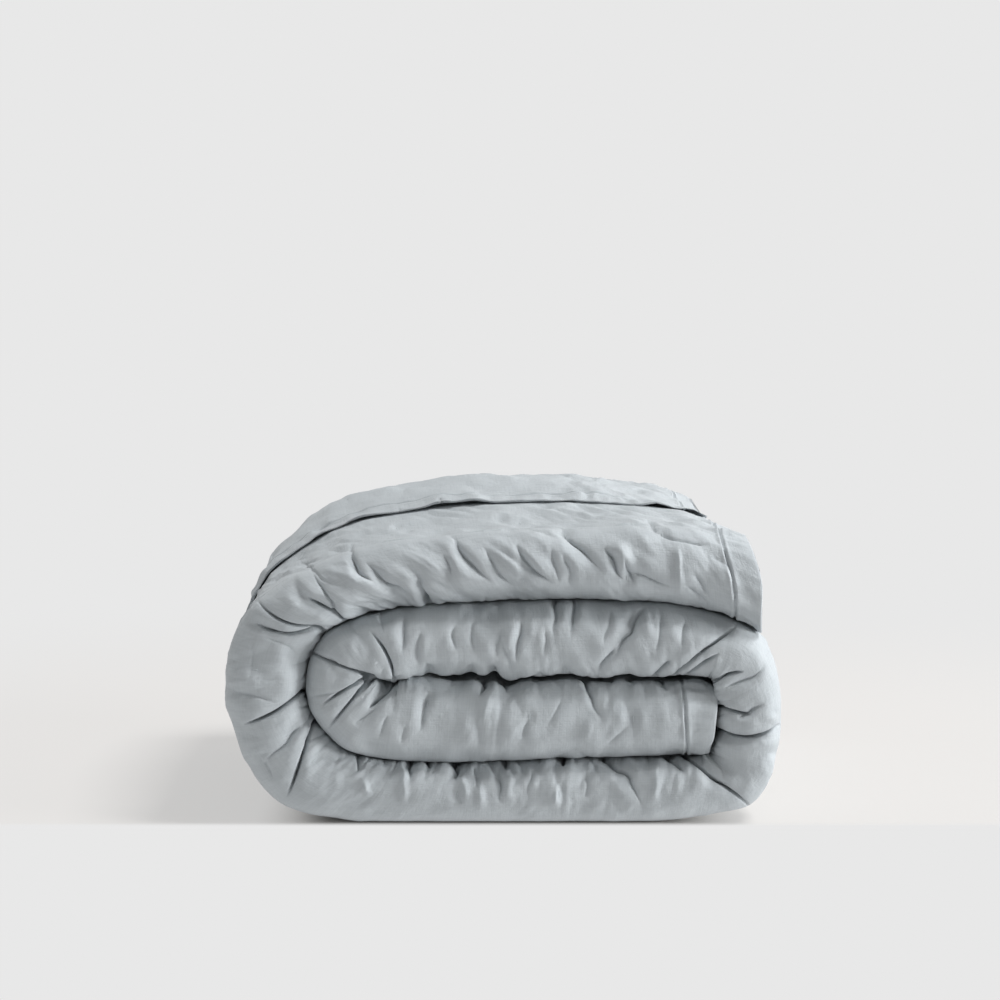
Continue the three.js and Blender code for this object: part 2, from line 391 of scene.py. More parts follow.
# %% Nudges and seams of the front
Nudge = namedtuple("Nudge", "at move reach rows")
NUDGES = [
    Nudge((-70, 146), (0, 0, 5), 6, (0, 12)),
    Nudge((-29, 146), (0, 0, 5), 6, (0, 12)),
    Nudge((-6, 146), (0, 0, 6), 6, (0, 12)),
    Nudge((9, 141), (0, 0, -5), 10, (0, 12)),
    Nudge((66, 145), (0, 0, 3), 13, (0, 12)),
    Nudge((100, 145), (0, 0, -2), 13, (0, 12)),
    Nudge((125, 145), (0, 0, 3), 10, (0, 12)),
    Nudge((-84, 139), (0, 0, 5), 22, (-1, 3.2)),
    Nudge((-109, 145), (0, 0, -6), 8, (5, 12)),
    Nudge((-127, 153), (0, 0, -3), 9, (5.4, 8)),
    Nudge((-128, 139), (0, 0, 3.5), 8, (2.6, 4.6)),
    Nudge((217, 115), (1, 0, 0), 17, (-1, 2)),
    Nudge((196, 143), (0, 0, 4), 16, (-1, 2)),
    Nudge((226, 136), (-8, -5, -2), 11, (9.5, 15)),
    Nudge((216, 66), (-7, -6, 4), 11, (10.5, 15)),
    Nudge((-208, 118), (0, -3, 0), 15, (17, 21)),
    Nudge((-211, 148), (0, -3, 0), 15, (17, 21)),
    Nudge((216, 140), (-4, 0, -3), 9, (-1, 2)),
    Nudge((215, 68), (-2, 0, 1.5), 8, (-1, 2)),
    Nudge((228, 120), (-14, -7, 0), 15, (9.5, 15)),
    Nudge((227, 96), (-12, -7, 0), 15, (9.5, 15)),
    Nudge((226, 74), (-12, -6, 0), 15, (9.5, 15)),
    Nudge((256, 238), (6.5, 0, 0), 31, (23, 26)),
    Nudge((-130, 143), (0, 12, 0), 6, (2.6, 7.4)),
    Nudge((-117, 140), (0, 7, 0), 7, (2.6, 7.4)),
    Nudge((212, 4), (0, 0, 6), 34, (12.5, 16.5)),
]
NUDGE_FRONT = 60
NUDGE_BACK = 130
UNDER_TOP = [(-160, 201), (-105, 214), (-40, 217), (60, 217), (115, 214), (175, 205), (240, 192)]
OVER_CORE = [(-104, 143), (-60, 146), (0, 146), (30, 145)]
UNDER_CORE = [(-150, 80), (-98, 63), (0, 59), (100, 63), (200, 66)]
Seam = namedtuple("Seam", "points deeper reach rows")
SEAMS = [
    Seam(UNDER_TOP, 17, 13, (6.8, 24.6)),
    Seam(OVER_CORE, 9, 10, (-1, 11)),
    Seam(UNDER_CORE, 7, 9, (-1, 17)),
]
SEAM_FADE = 25


def between_rows(first, last):
    return ((rows > first) & (rows < last))[:, None]



seen_x, seen_z = as_seen(base)
front_share = 1 - smooth_step(depth, NUDGE_FRONT, NUDGE_BACK)
nudged = base.copy()
for nudge in NUDGES:
    away = (seen_x - nudge.at[0]) ** 2 + (seen_z - nudge.at[1]) ** 2
    strength = np.exp(-away / nudge.reach**2) * front_share
    strength = strength * between_rows(*nudge.rows)
    nudged += strength[..., None] * nudge.move
for seam in SEAMS:
    along_seam, seam_height = np.array(seam.points).T
    off_seam = seen_z - np.interp(seen_x, along_seam, seam_height)
    strength = np.exp(-((off_seam / seam.reach) ** 2)) * front_share
    strength = strength * smooth_step(seen_x, along_seam[0], along_seam[0] + SEAM_FADE)
    strength = strength * (1 - smooth_step(seen_x, along_seam[-1] - SEAM_FADE, along_seam[-1]))
    nudged[..., 1] += seam.deeper * strength * between_rows(*seam.rows)
print("nudged by up to", round(float(np.abs(nudged - base).max()), 1), "mm")

# %% [markdown]
# The creases and ridges that show are listed, one row each, as the camera sees them. A pinch is
# a sharp valley between full cheeks and a pleat a soft one, and both are deepest where they leave a
# seam. A drag is a valley that is shallow at both ends, a hollow is a rounder one, and a ridge is its
# opposite. A valley may bend, and it may have a ridge beside it, on its left as it is followed when the
# number is positive. Chance could place them all, but then no turn would look like the real one.

# %% Creases that show
Crease = namedtuple("Crease", "kind start end depth width bend ridge", defaults=(0, 0))
LEFT_OUTER_TURN = [
    Crease("pinch", (-196, 129), (-253, 97), 10, 6, 4, -0.1),
    Crease("pinch", (-187, 92), (-212, 25), 10, 5.5, 0, 0.2),
    Crease("pleat", (-207, 86), (-241, 51), 3.5, 6),
    Crease("pinch", (-186, 190), (-246, 198), 9, 5, 8),
    Crease("hollow", (-220, 190), (-258, 201), 4.5, 7, 1),
    Crease("pinch", (-184, 193), (-241, 218), 6, 5, 8, 0.3),
    Crease("pinch", (-158, 201), (-192, 223), 8, 5),
    Crease("hollow", (-174, 212), (-207, 239), 5, 6, 5, 0.6),
    Crease("pleat", (-164, 209), (-192, 254), 4.5, 7, 0, 0.5),
    Crease("drag", (-262, 128), (-222, 118), 2, 7),
    Crease("ridge", (-223, 180), (-221, 124), 1.6, 11),
    Crease("drag", (-248, 186), (-250, 140), 1, 13),
    Crease("drag", (-232, 180), (-200, 168), 1.5, 9),
    Crease("drag", (-238, 60), (-226, 40), 1.5, 7),
]
TOP_PLIES = [
    Crease("drag", (-149, 271), (-127, 237), 4.5, 4, -6, -0.3),
    Crease("drag", (-129, 254), (-88, 222), 5, 6, -5, -0.35),
    Crease("pleat", (-69, 217), (-90, 251), 5, 6, 0, 0.6),
    Crease("pleat", (-70, 216), (-76, 225), 5, 3),
    Crease("drag", (-45, 281), (-11, 242), 5.5, 5.5, -4, -0.5),
    Crease("drag", (-57, 263), (-46, 242), 2.5, 5, 0, -0.4),
    Crease("drag", (-13, 269), (13, 231), 4, 7, -3, -0.3),
    Crease("drag", (19, 272), (48, 240), 5.5, 6, -4, -0.55),
    Crease("drag", (50, 268), (60, 240), 2.5, 5, 0, -0.5),
    Crease("drag", (64, 262), (72, 236), 2.5, 5, 0, -0.5),
    Crease("drag", (64, 289), (98, 254), 4, 5, 0, -0.4),
    Crease("drag", (106, 270), (120, 242), 6.5, 5.5, 0, 0.8),
    Crease("drag", (125, 260), (133, 236), 4.5, 6),
    Crease("drag", (130, 248), (172, 231), 3, 8),
    Crease("ridge", (178, 272), (181, 228), 1.6, 3),
    Crease("drag", (187, 233), (206, 215), 3, 6),
    Crease("drag", (194, 246), (209, 222), 2.5, 6),
    Crease("drag", (162, 288), (207, 277), 2.4, 6, -4),
    Crease("drag", (149, 297), (159, 287), 2.5, 4),
    Crease("drag", (-200, 262), (-172, 238), 2, 9, 0, -0.3),
]
INNER_LEFT_TURN = [
    Crease("pinch", (-137, 146), (-192, 170), 5.5, 5, 2, -0.3),
    Crease("drag", (-164, 156), (-173, 165), 2.5, 4),
    Crease("pinch", (-136, 140), (-178, 115), 5.5, 4.5, -1, 0.3),
    Crease("pinch", (-134, 136), (-172, 92), 5.5, 4.5, 0, 0.4),
    Crease("pinch", (-108, 136), (-131, 112), 4.5, 5, 0, -0.3),
    Crease("hollow", (-109, 140), (-128, 115), 5, 6),
    Crease("drag", (-188, 122), (-158, 129), 1.8, 6),
    Crease("drag", (-143, 98), (-120, 113), 1.8, 6),
]
SECOND_PLIES = [
    Crease("drag", (-147, 195), (-131, 162), 4.5, 5, 0, -0.4),
    Crease("pinch", (-106, 142), (-128, 187), 7, 6, -4, -0.3),
    Crease("pleat", (-118, 145), (-117, 153), 4, 3),
    Crease("drag", (-96, 201), (-97, 171), 2.5, 4, 0, -0.6),
    Crease("drag", (-80, 185), (-82, 157), 2.2, 4, 0, -0.4),
    Crease("drag", (-45, 193), (-47, 171), 2, 4),
    Crease("drag", (-28, 197), (-26, 171), 2, 4),
    Crease("drag", (0, 189), (-3, 163), 2.2, 5, 0, -0.4),
    Crease("pleat", (-71, 146), (-73, 158), 1.5, 3),
    Crease("pleat", (-28, 146), (-28, 157), 1.5, 3),
    Crease("pleat", (-7, 146), (-4, 159), 2, 4),
    Crease("pleat", (66, 146), (67, 155), 1.5, 5),
    Crease("drag", (21, 197), (17, 162), 4, 4, 0, -0.6),
    Crease("drag", (3, 179), (12, 149), 2, 5),
    Crease("pleat", (55, 212), (55, 181), 3, 4),
    Crease("pleat", (74, 212), (72, 183), 3.5, 4.5),
    Crease("drag", (46, 187), (46, 165), 1.5, 5),
    Crease("drag", (110, 205), (104, 176), 1.5, 6),
    Crease("drag", (141, 208), (116, 165), 6, 6, 0, -0.3),
    Crease("drag", (113, 170), (99, 146), 4.5, 5),
    Crease("drag", (161, 201), (157, 169), 2.5, 7),
    Crease("drag", (185, 196), (181, 169), 2.2, 6),
    Crease("pinch", (152, 142), (171, 159), 6, 5, 0, 0.2),
    Crease("pinch", (172, 143), (236, 195), 6, 4.5, 0, 0.3),
    Crease("pinch", (184, 143), (218, 166), 6.5, 4),
    Crease("pinch", (212, 138), (243, 148), 6, 5, 2),
    Crease("drag", (228, 133), (265, 153), 3, 7, -3),
]
RIGHT_TURN = [
    Crease("pinch", (214, 113), (250, 105), 9, 4.5),
    Crease("drag", (240, 104), (261, 114), 4, 3.5),
    Crease("pinch", (213, 92), (281, 95), 8, 6, -11),
    Crease("hollow", (208, 90), (276, 96), 3.5, 6, -11),
    Crease("pinch", (183, 67), (249, 14), 11, 6),
    Crease("drag", (215, 41), (231, 34), 1.8, 4),
    Crease("drag", (262, 190), (270, 160), 1.5, 8),
]
CORE_PLIES = [
    Crease("pleat", (82, 143), (105, 97), 4.5, 3.5),
    Crease("pleat", (130, 144), (131, 133), 5, 8),
    Crease("pleat", (157, 143), (168, 130), 4.5, 4),
    Crease("pleat", (3, 141), (6, 129), 6, 9),
    Crease("pleat", (-14, 141), (-20, 123), 6, 7),
    Crease("pleat", (110, 144), (112, 134), 3, 6),
    Crease("drag", (27, 98), (22, 82), 1.8, 5),
    Crease("drag", (-74, 127), (-80, 89), 3, 4, 0, -0.6),
    Crease("ridge", (-11, 120), (-21, 90), 1.6, 4),
    Crease("drag", (-113, 103), (-122, 81), 1.8, 6),
    Crease("drag", (-93, 94), (-100, 79), 1.6, 5),
    Crease("drag", (-137, 125), (-151, 96), 1.8, 5, 0, -0.4),
    Crease("drag", (-127, 119), (-139, 95), 1.6, 5, 0, -0.4),
    Crease("drag", (128, 93), (107, 75), 1.5, 7),
    Crease("drag", (60, 120), (48, 92), 1.5, 8),
]
BOTTOM_PLIES = [
    Crease("pleat", (-142, 64), (-143, 49), 6, 5),
    Crease("pleat", (-159, 64), (-155, 41), 4, 6),
    Crease("ridge", (-167, 51), (-162, 31), 1.8, 5),
    Crease("ridge", (-139, 41), (-131, 24), 1.8, 4),
    Crease("ridge", (-98, 54), (-96, 19), 1.8, 3.5),
    Crease("pleat", (-89, 61), (-90, 35), 4.5, 5),
    Crease("pleat", (-71, 60), (-71, 51), 3.5, 4),
    Crease("pleat", (-43, 60), (-43, 40), 7, 8),
    Crease("ridge", (-37, 45), (-34, 23), 1.8, 4),
    Crease("ridge", (-21, 35), (-19, 12), 2, 4),
    Crease("drag", (-25, 52), (-22, 28), 2, 5),
    Crease("drag", (0, 51), (0, 19), 3.5, 4.5),
    Crease("pleat", (6, 61), (6, 51), 4, 4),
    Crease("ridge", (8, 44), (10, 18), 1.2, 5),
    Crease("pleat", (63, 64), (63, 53), 7, 6),
    Crease("pleat", (105, 63), (142, 11), 6.5, 6.5, 7, -0.3),
    Crease("ridge", (157, 51), (155, 17), 1.7, 4),
    Crease("ridge", (55, 34), (57, 15), 1.8, 3.5),
    Crease("pleat", (168, 65), (185, 45), 7, 6),
    Crease("drag", (30, 48), (28, 24), 1.8, 6),
    Crease("drag", (88, 46), (84, 22), 1.8, 7),
]
FLAP = [
    Crease("drag", (-244, 246), (-223, 270), 3, 4, 0, 0.4),
    Crease("drag", (-240, 231), (-216, 257), 2, 4),
    Crease("drag", (-186, 289), (-158, 300), 2, 3, 0, 0.4),
    Crease("drag", (-102, 314), (-96, 305), 1.5, 3),
    Crease("drag", (-62, 318), (-54, 312), 1.5, 3),
    Crease("drag", (150, 336), (185, 327), 2, 3),
]
Stretch = namedtuple("Stretch", "from_row to_row creases")
STRETCHES = [
    Stretch(-0.5, 3.6, CORE_PLIES),
    Stretch(2.6, 7.2, INNER_LEFT_TURN),
    Stretch(6.6, 11.8, SECOND_PLIES),
    Stretch(9.8, 14.6, RIGHT_TURN),
    Stretch(13.4, 17.6, BOTTOM_PLIES),
    Stretch(17, 21.4, LEFT_OUTER_TURN),
    Stretch(20.3, 25.5, TOP_PLIES),
]
print("creases by hand", sum(len(stretch.creases) for stretch in STRETCHES) + len(FLAP))

# %% [markdown]
# All relief is worked out as one height over the surface, in millimetres. A crease could be sculpted,
# but as a formula it keeps its width and depth wherever it is moved. Its section is a valley with full
# cheeks, with a narrow slot at the bottom that stays dark, and it fades out at its ends.

# %% Height of one crease
Shape = namedtuple("Shape", "scale crisp cheeks slot slot_width ends")
SHAPES = {
    "pinch": Shape(scale=0.42, crisp=0.8, cheeks=0.28, slot=2.3, slot_width=1.0, ends=(0.6, 1.08)),
    "pleat": Shape(scale=0.9, crisp=0.45, cheeks=0.16, slot=0.9, slot_width=1.3, ends=(0.2, 1.1)),
    "drag": Shape(scale=1.2, crisp=0.5, cheeks=0.06, slot=0.7, slot_width=1.2, ends=(0.6, 1.2)),
    "hollow": Shape(scale=1.2, crisp=0.1, cheeks=0.05, slot=0, slot_width=1, ends=(0.6, 1.2)),
    "ridge": Shape(scale=1.8, crisp=0, cheeks=0, slot=0, slot_width=1, ends=(0.6, 1.2)),
}
LEAVES_A_SEAM = ("pinch", "pleat")
STARTS_IN_SEAM = (-14, -3)
STARTS_IN_CLOTH = (-0.2, 0.3)
RIDGE_AWAY = 2.3
RIDGE_WIDTH = 1.7
RIDGE_SHARE = 0.65
CHEEK_AWAY = 1.9
GENTLE_SIDE = 1.5
STEEP_SIDE = 0.8


def bell(off):
    return np.exp(-(off**2))


def two_shoulders(off):
    """Two round shoulders that meet in a sharp line, as a depth from 1 at the line to 0."""
    return 1 - np.sqrt(1 - (1 - np.minimum(np.abs(off), 1)) ** 2)


def crease_height(crease, x, z):
    """The height of one crease at places x and z. Its bend is how far its middle bows out."""
    shape = SHAPES[crease.kind]
    way = np.subtract(crease.end, crease.start)
    length = float(np.hypot(*way))
    ahead = way / length
    from_start = (x - crease.start[0], z - crease.start[1])
    along_it = (from_start[0] * ahead[0] + from_start[1] * ahead[1]) / length
    held = np.clip(along_it, 0, 1)
    off = from_start[1] * ahead[0] - from_start[0] * ahead[1] - 4 * crease.bend * held * (1 - held)
    slot = shape.slot * bell(off / shape.slot_width)
    off = off / crease.width
    if crease.kind == "ridge":
        height = bell(off)
    else:
        ridge_side = np.sign(crease.ridge)
        leaning = off / np.where(off * ridge_side > 0, GENTLE_SIDE, STEEP_SIDE) if ridge_side else off
        height = -blend(bell(leaning), two_shoulders(leaning), shape.crisp)
        height += shape.cheeks * bell(np.abs(off) - CHEEK_AWAY)
        height += RIDGE_SHARE * abs(crease.ridge) * bell((off - ridge_side * RIDGE_AWAY) / RIDGE_WIDTH)
    if crease.kind in LEAVES_A_SEAM:
        fade = smooth_step(along_it * length, *STARTS_IN_SEAM)
    else:
        fade = smooth_step(along_it, *STARTS_IN_CLOTH)
    fade = fade * (1 - smooth_step(along_it, *shape.ends))
    return crease.depth * (shape.scale * height - slot) * fade


def add_creases(total, creases, sections, columns, x, z):
    """Add creases to a height, in the given sections and columns only."""
    window = np.ix_(sections, columns)
    window_x = x[window]
    window_z = z[window]
    for crease in creases:
        total[window] += crease_height(crease, window_x, window_z)


print("kinds of crease", *SHAPES)

# %% [markdown]
# Cloth is never quite even. A sum of sine waves that run in chance directions makes smooth waviness
# over any two lengths, and every ripple below names its height, its length and its seed.

# %% Ripples
RIPPLE_WAVES = 14
WAVE_SPREAD = (0.7, 1.5)
Ripple = namedtuple("Ripple", "height length seed")


def ripples(x, y, wavelength, seed):
    """Smooth waviness from -1 to 1 or so, over two lengths, with no direction of its own."""
    random = np.random.default_rng(seed)
    total = 0
    for _ in range(RIPPLE_WAVES):
        angle, phase = random.uniform(0, 2 * pi, 2)
        pace = 2 * pi / (wavelength * random.uniform(*WAVE_SPREAD))
        total = total + np.sin(pace * (x * cos(angle) + y * sin(angle)) + phase)
    return total / (RIPPLE_WAVES / 2) ** 0.5


def rippled(ripple, x, y):
    return ripple.height * ripples(x, y, ripple.length, ripple.seed)


print("waves in a ripple", RIPPLE_WAVES)

# %% [markdown]
# Everything that follows needs to know, for each point, how far along and across the flat sheet it is,
# which part it belongs to, and whether the camera sees it. A place across the sheet is the way along
# the outline, counted up to the inner hem and then back again on the lining face.

# %% The sheet's own lengths and what shows
SHOWS_WHEN_FACING = (-0.05, 0.12)
NEARLY_ALL = 0.9
OUTSIDE_FROM_ROW = (10.7, 11.4)
FRONT_UP_TO = (50, 62)
TOP_UNCOVERED_UP_TO = (140, 156)
BACK_FROM = (380, 420)

base = nudged
normals = surface_normals(base)
to_camera = camera_place - base
to_camera /= np.linalg.norm(to_camera, axis=-1, keepdims=True)
facing = (normals * to_camera).sum(-1)
shows = smooth_step(facing, *SHOWS_WHEN_FACING)
seen_x, seen_z = as_seen(base)

section_points = full_outline * [1, STRIP_THICKNESS]
section_steps = np.linalg.norm(np.roll(section_points, -1, axis=0) - section_points, axis=1)
section_way = np.concatenate([[0], np.cumsum(section_steps)[:-1]])
hem_points = np.flatnonzero((full_outline[:, 0] == INNER_HEM_SETBACK) & (part_names == "inside"))
inner_hem = hem_points[section_way[hem_points] > SHEET_WIDTH * NEARLY_ALL][0]
across_sheet = section_way[inner_hem] - np.abs(section_way - section_way[inner_hem])
print("sheet's width along the outline", round(float(section_way[inner_hem])), "mm")

lengthwise = np.broadcast_to(along[:, None], depth.shape)
crosswise = np.broadcast_to(across_sheet[None, :], depth.shape)
end_distance = np.minimum(lengthwise, strip_length - lengthwise)
front_start = section_way[np.flatnonzero(part_names == "front fold")[0]]
back_end = section_way[np.flatnonzero(part_names == "back fold")[-1]]
front_distance = np.broadcast_to((section_way - front_start)[None, :], depth.shape)
back_distance = np.broadcast_to((back_end - section_way)[None, :], depth.shape)

is_part = {name: (part_names == name)[None, :] for name in sorted(set(part_names))}
fine = np.isin(part_names, FINE_PARTS)
outside_turn = smooth_step(row_grid, *OUTSIDE_FROM_ROW)
near_front = 1 - smooth_step(depth, *FRONT_UP_TO)
uncovered_top = 1 - smooth_step(depth, *TOP_UNCOVERED_UP_TO)
front_part = (
    is_part["front fold"]
    + is_part["core face"] * near_front
    + is_part["top face"] * np.maximum(near_front, outside_turn * uncovered_top)
)
near_back = smooth_step(depth, *BACK_FROM)
back_part = is_part["back fold"] + is_part["core face"] * near_back + is_part["flap"] * near_back
outer_ply = is_part["flap"] + is_part["back fold"]

# %% [markdown]
# The listed creases are laid on the points that the camera sees, each only in its own stretch of
# the winding, because turns that lie behind one another can look as if they were in one place. A
# little waviness keeps the loose ones from looking ruled. The taut ones stay straight.

# %% Height of the listed creases
WAVES_ASIDE = Ripple(0.9, 32, 11)
WAVES_UP = Ripple(0.9, 32, 12)
STRETCH_FADE = 0.2
FLAP_FROM_ROW = 18

wavy_x = seen_x + rippled(WAVES_ASIDE, lengthwise, crosswise)
wavy_z = seen_z + rippled(WAVES_UP, lengthwise, crosswise)
showing_columns = np.flatnonzero(front_part.max(axis=0) > 0)
flap_columns = np.flatnonzero(part_names == "flap")
by_hand = np.zeros(depth.shape)
on_flap = np.zeros(depth.shape)
for stretch in STRETCHES:
    within = smooth_step(rows, stretch.from_row - STRETCH_FADE, stretch.from_row + STRETCH_FADE)
    within = within * (1 - smooth_step(rows, stretch.to_row - STRETCH_FADE, stretch.to_row + STRETCH_FADE))
    sections = np.flatnonzero(within > 0)
    in_stretch = np.zeros(depth.shape)
    taut = [crease for crease in stretch.creases if crease.kind in ("pinch", "hollow")]
    loose = [crease for crease in stretch.creases if crease not in taut]
    add_creases(in_stretch, taut, sections, showing_columns, seen_x, seen_z)
    add_creases(in_stretch, loose, sections, showing_columns, wavy_x, wavy_z)
    by_hand += in_stretch * within[:, None]
add_creases(on_flap, FLAP, np.flatnonzero(rows > FLAP_FROM_ROW), flap_columns, wavy_x, wavy_z)
by_hand *= front_part * shows
on_flap *= shows
print("creases from", round(float(by_hand.min()), 1), "to", round(float(by_hand.max()), 1), "mm")

# %% [markdown]
# On the inner side of every turn the sheet has more length than room, so it gathers in short pleats
# across the front fold and the back fold. These are many and alike, so chance places them. They are
# strongest where the strip turns most.

# %% Gathers
GATHER_SEED = 5
GATHER_SPACING = (9, 24)
GATHER_DEPTH = (0.7, 2.1)
GATHER_WIDTH = (2.6, 5)
GATHER_LENGTH = (22, 62)
GATHER_STARTS = (-6, 6)
GATHER_FADES_IN = (-12, 3)
GATHER_ENDS_FROM = 0.3
GATHER_SLANT = 0.35
GATHER_CRISP = 0.4
GATHER_WINDOW = 45
FIRST_GATHER = 12
BACK_STRENGTH = 1.4
Strength = namedtuple("Strength", "row share")
FRONT_STRENGTHS = [
    Strength(0, 0.5),
    Strength(3, 0.5),
    Strength(4, 1),
    Strength(6, 1),
    Strength(7, 0.9),
    Strength(10, 0.9),
    Strength(11, 1.1),
    Strength(14, 1.1),
    Strength(15, 1),
    Strength(17, 1),
    Strength(18, 1.2),
    Strength(21, 1.2),
    Strength(22, 0.5),
    Strength(25, 0.4),
]


def gather_heights(seam_distance, seed, strength):
    """Short pleats that start at a seam and run away from it, all along the strip."""
    random = np.random.default_rng(seed)
    total = np.zeros(seam_distance.shape)
    place = FIRST_GATHER
    while place < strip_length:
        deep = random.uniform(*GATHER_DEPTH)
        width = random.uniform(*GATHER_WIDTH)
        length = random.uniform(*GATHER_LENGTH)
        starts = random.uniform(*GATHER_STARTS)
        slant = random.uniform(-GATHER_SLANT, GATHER_SLANT)
        nearby = slice(*np.searchsorted(along, (place - GATHER_WINDOW, place + GATHER_WINDOW)))
        from_seam = seam_distance[nearby]
        off = (lengthwise[nearby] - place - slant * (from_seam - starts)) / width
        fade = smooth_step(from_seam, starts + GATHER_FADES_IN[0], starts + GATHER_FADES_IN[1])
        fade = fade * (1 - smooth_step(from_seam, starts + length * GATHER_ENDS_FROM, starts + length))
        total[nearby] -= deep * blend(bell(off), two_shoulders(off), GATHER_CRISP) * fade
        place += random.uniform(*GATHER_SPACING)
    return total * strength


front_strength = np.interp(row_grid, *np.array(FRONT_STRENGTHS).T)
gathers = gather_heights(front_distance, GATHER_SEED, front_strength) * front_part
gathers = gathers + gather_heights(back_distance, GATHER_SEED + 1, BACK_STRENGTH) * back_part
print("gathers up to", round(float(-gathers.min()), 1), "mm deep")

# %% [markdown]
# Most of the outermost ply doesn't show from the front, so chance places its drags. They are long and
# soft, run across the strip for the most part, and are weaker where the camera sees them.

# %% Drags by chance
DRAG_SEED = 21
DRAG_COUNT = 150
DRAGS_FROM_ROW = 11
DRAGS_ALONG_FROM = 900
DRAGS_ACROSS = (40, 430)
DRAG_TURN = 0.5
DRAG_REACH = (25, 80)
DRAG_RIDGES = [-0.4, 0.4]
DRAG_DEPTH = (0.5, 1.5)
DRAG_WIDTH = (4, 9)
DRAG_BEND = (-5, 5)
DRAGS_WEAKER_WHERE_SEEN = 0.6

random = np.random.default_rng(DRAG_SEED)
drags = np.zeros(depth.shape)
outside_sections = np.flatnonzero(rows > DRAGS_FROM_ROW)
outer_columns = np.flatnonzero(np.isin(part_names, ("flap", "back fold")))
for _ in range(DRAG_COUNT):
    start = (random.uniform(DRAGS_ALONG_FROM, strip_length), random.uniform(*DRAGS_ACROSS))
    angle = random.normal(pi / 2, DRAG_TURN)
    reach = random.uniform(*DRAG_REACH)
    end = (start[0] + reach * cos(angle), start[1] + reach * sin(angle))
    side = random.choice(DRAG_RIDGES)
    deep = random.uniform(*DRAG_DEPTH)
    width = random.uniform(*DRAG_WIDTH)
    chance = Crease("drag", start, end, deep, width, random.uniform(*DRAG_BEND), side)
    add_creases(drags, [chance], outside_sections, outer_columns, lengthwise, crosswise)
drags *= outer_ply * outside_turn
drags *= 1 - DRAGS_WEAKER_WHERE_SEEN * shows
print("drags by chance", DRAG_COUNT)

# %% [markdown]
# Between the creases the filling swells the cloth in broad soft waves, and washed linen has fine
# wrinkles on top of them, in some places more than in others. A ripple's size without its sign gives
# sharp valleys between round crests, which is what such wrinkles look like.

# %% Swell of the filling and fine wrinkles
BROAD_SWELL = Ripple(1.1, 95, 31)
FINE_SWELL = Ripple(0.45, 34, 32)
WRINKLE = Ripple(1.5, 46, 33)
FINE_WRINKLE = Ripple(0.45, 19, 34)
WRINKLE_PATCH = Ripple(1, 130, 35)
LEAST_WRINKLED = 0.3
MOST_WRINKLED = 1.1
PATCH_EDGE = 0.9
WRINKLE_STRETCH = 0.5
WRINKLE_MEAN = 0.8
FLAP_WRINKLED = 0.45
TOP_SLANT = 0.7
SLANT_UP_TO = 260
SLANT_ROWS = (17, 22)
HEM_SWELL = 0.35
HEM_SWELL_FROM = 4

slant = TOP_SLANT * np.clip(front_distance, 0, SLANT_UP_TO) * smooth_step(row_grid, *SLANT_ROWS)
slanted = lengthwise + slant


def wrinkle_heights(ripple):
    crests = np.abs(ripples(slanted, crosswise * WRINKLE_STRETCH, ripple.length, ripple.seed))
    return ripple.height * (crests - WRINKLE_MEAN)


patches = smooth_step(rippled(WRINKLE_PATCH, lengthwise, crosswise), -PATCH_EDGE, PATCH_EDGE)
wrinkles = wrinkle_heights(WRINKLE) + wrinkle_heights(FINE_WRINKLE)
swell = rippled(BROAD_SWELL, lengthwise, crosswise) + rippled(FINE_SWELL, lengthwise, crosswise)
wrinkled_share = np.where(is_part["flap"], FLAP_WRINKLED, 1)
swell += wrinkles * blend(LEAST_WRINKLED, MOST_WRINKLED, patches) * wrinkled_share
swell *= np.clip(front_part + outer_ply * outside_turn + back_part, 0, 1)
swell *= blend(HEM_SWELL, 1, smooth_step(end_distance, HEM_SWELL_FROM, HEM_BAND))
fold_middle = np.clip(front_distance / front_distance[0, part_names == "front fold"].max(), 0, 1)
between_seams = np.where(is_part["front fold"], np.sin(pi * fold_middle) ** 0.5, 1)
print("swell from", round(float(swell.min()), 1), "to", round(float(swell.max()), 1), "mm")

# %% [markdown]
# Tack stitches hold the two faces of the quilt together, in rows about 104 mm apart. Each one pulls
# a small dimple, longer around the fold than along the strip. Those that show in front are listed one
# by one, and the rest follow the rows.

# %% Tack stitches and their dimples
TACK_SPACING = 104
TACK_DIMPLE = 2.8
TACK_ALONG = 5.5
TACK_AROUND = 9
TACK_WINDOW = 25
TACKS_SEEN = [
    (-73, 117), (30, 103), (134, 101), (-43, 24), (59, 26), (-11, 205), (23, 238), (127, 241), (-81, 238),
    (-103, 292), (1, 300), (102, 304), (65, 288), (149, 296), (163, 287), (46, 312), (-245, 150), (-185, 60),
]
FACES_CAMERA = 0.08
FLAP_TACK_ROWS = (139, 243, 347)
FLAP_TACKS_FROM = 1180
LAST_TACK_BEFORE_END = 40
TOP_TACKS_ALONG = (1130, 1900)
TOP_TACK_DEPTH = 82
NOT_HERE = 1e9


def nearest(mask, *differences):
    """The place in the grid where the differences are least, among those in the mask."""
    away = sum(difference**2 for difference in differences) + np.where(mask, 0, NOT_HERE)
    return np.unravel_index(np.argmin(away), away.shape)


tack_places = []
open_front = (front_part > 0.5) & (facing > FACES_CAMERA)
for x, z in TACKS_SEEN:
    tack_places.append(nearest(open_front, seen_x - x, seen_z - z))
on_outer_ply = outer_ply & (depth > 0)
for row_of_tacks, across in enumerate(FLAP_TACK_ROWS):
    first_tack = FLAP_TACKS_FROM + TACK_SPACING / 2 * (row_of_tacks % 2)
    for place in np.arange(first_tack, strip_length - LAST_TACK_BEFORE_END, TACK_SPACING):
        tack_places.append(nearest(on_outer_ply, lengthwise - place, crosswise - across))
on_top_face = is_part["top face"] & (depth > 0)
for place in np.arange(*TOP_TACKS_ALONG, TACK_SPACING):
    tack_places.append(nearest(on_top_face, lengthwise - place, depth - TOP_TACK_DEPTH))

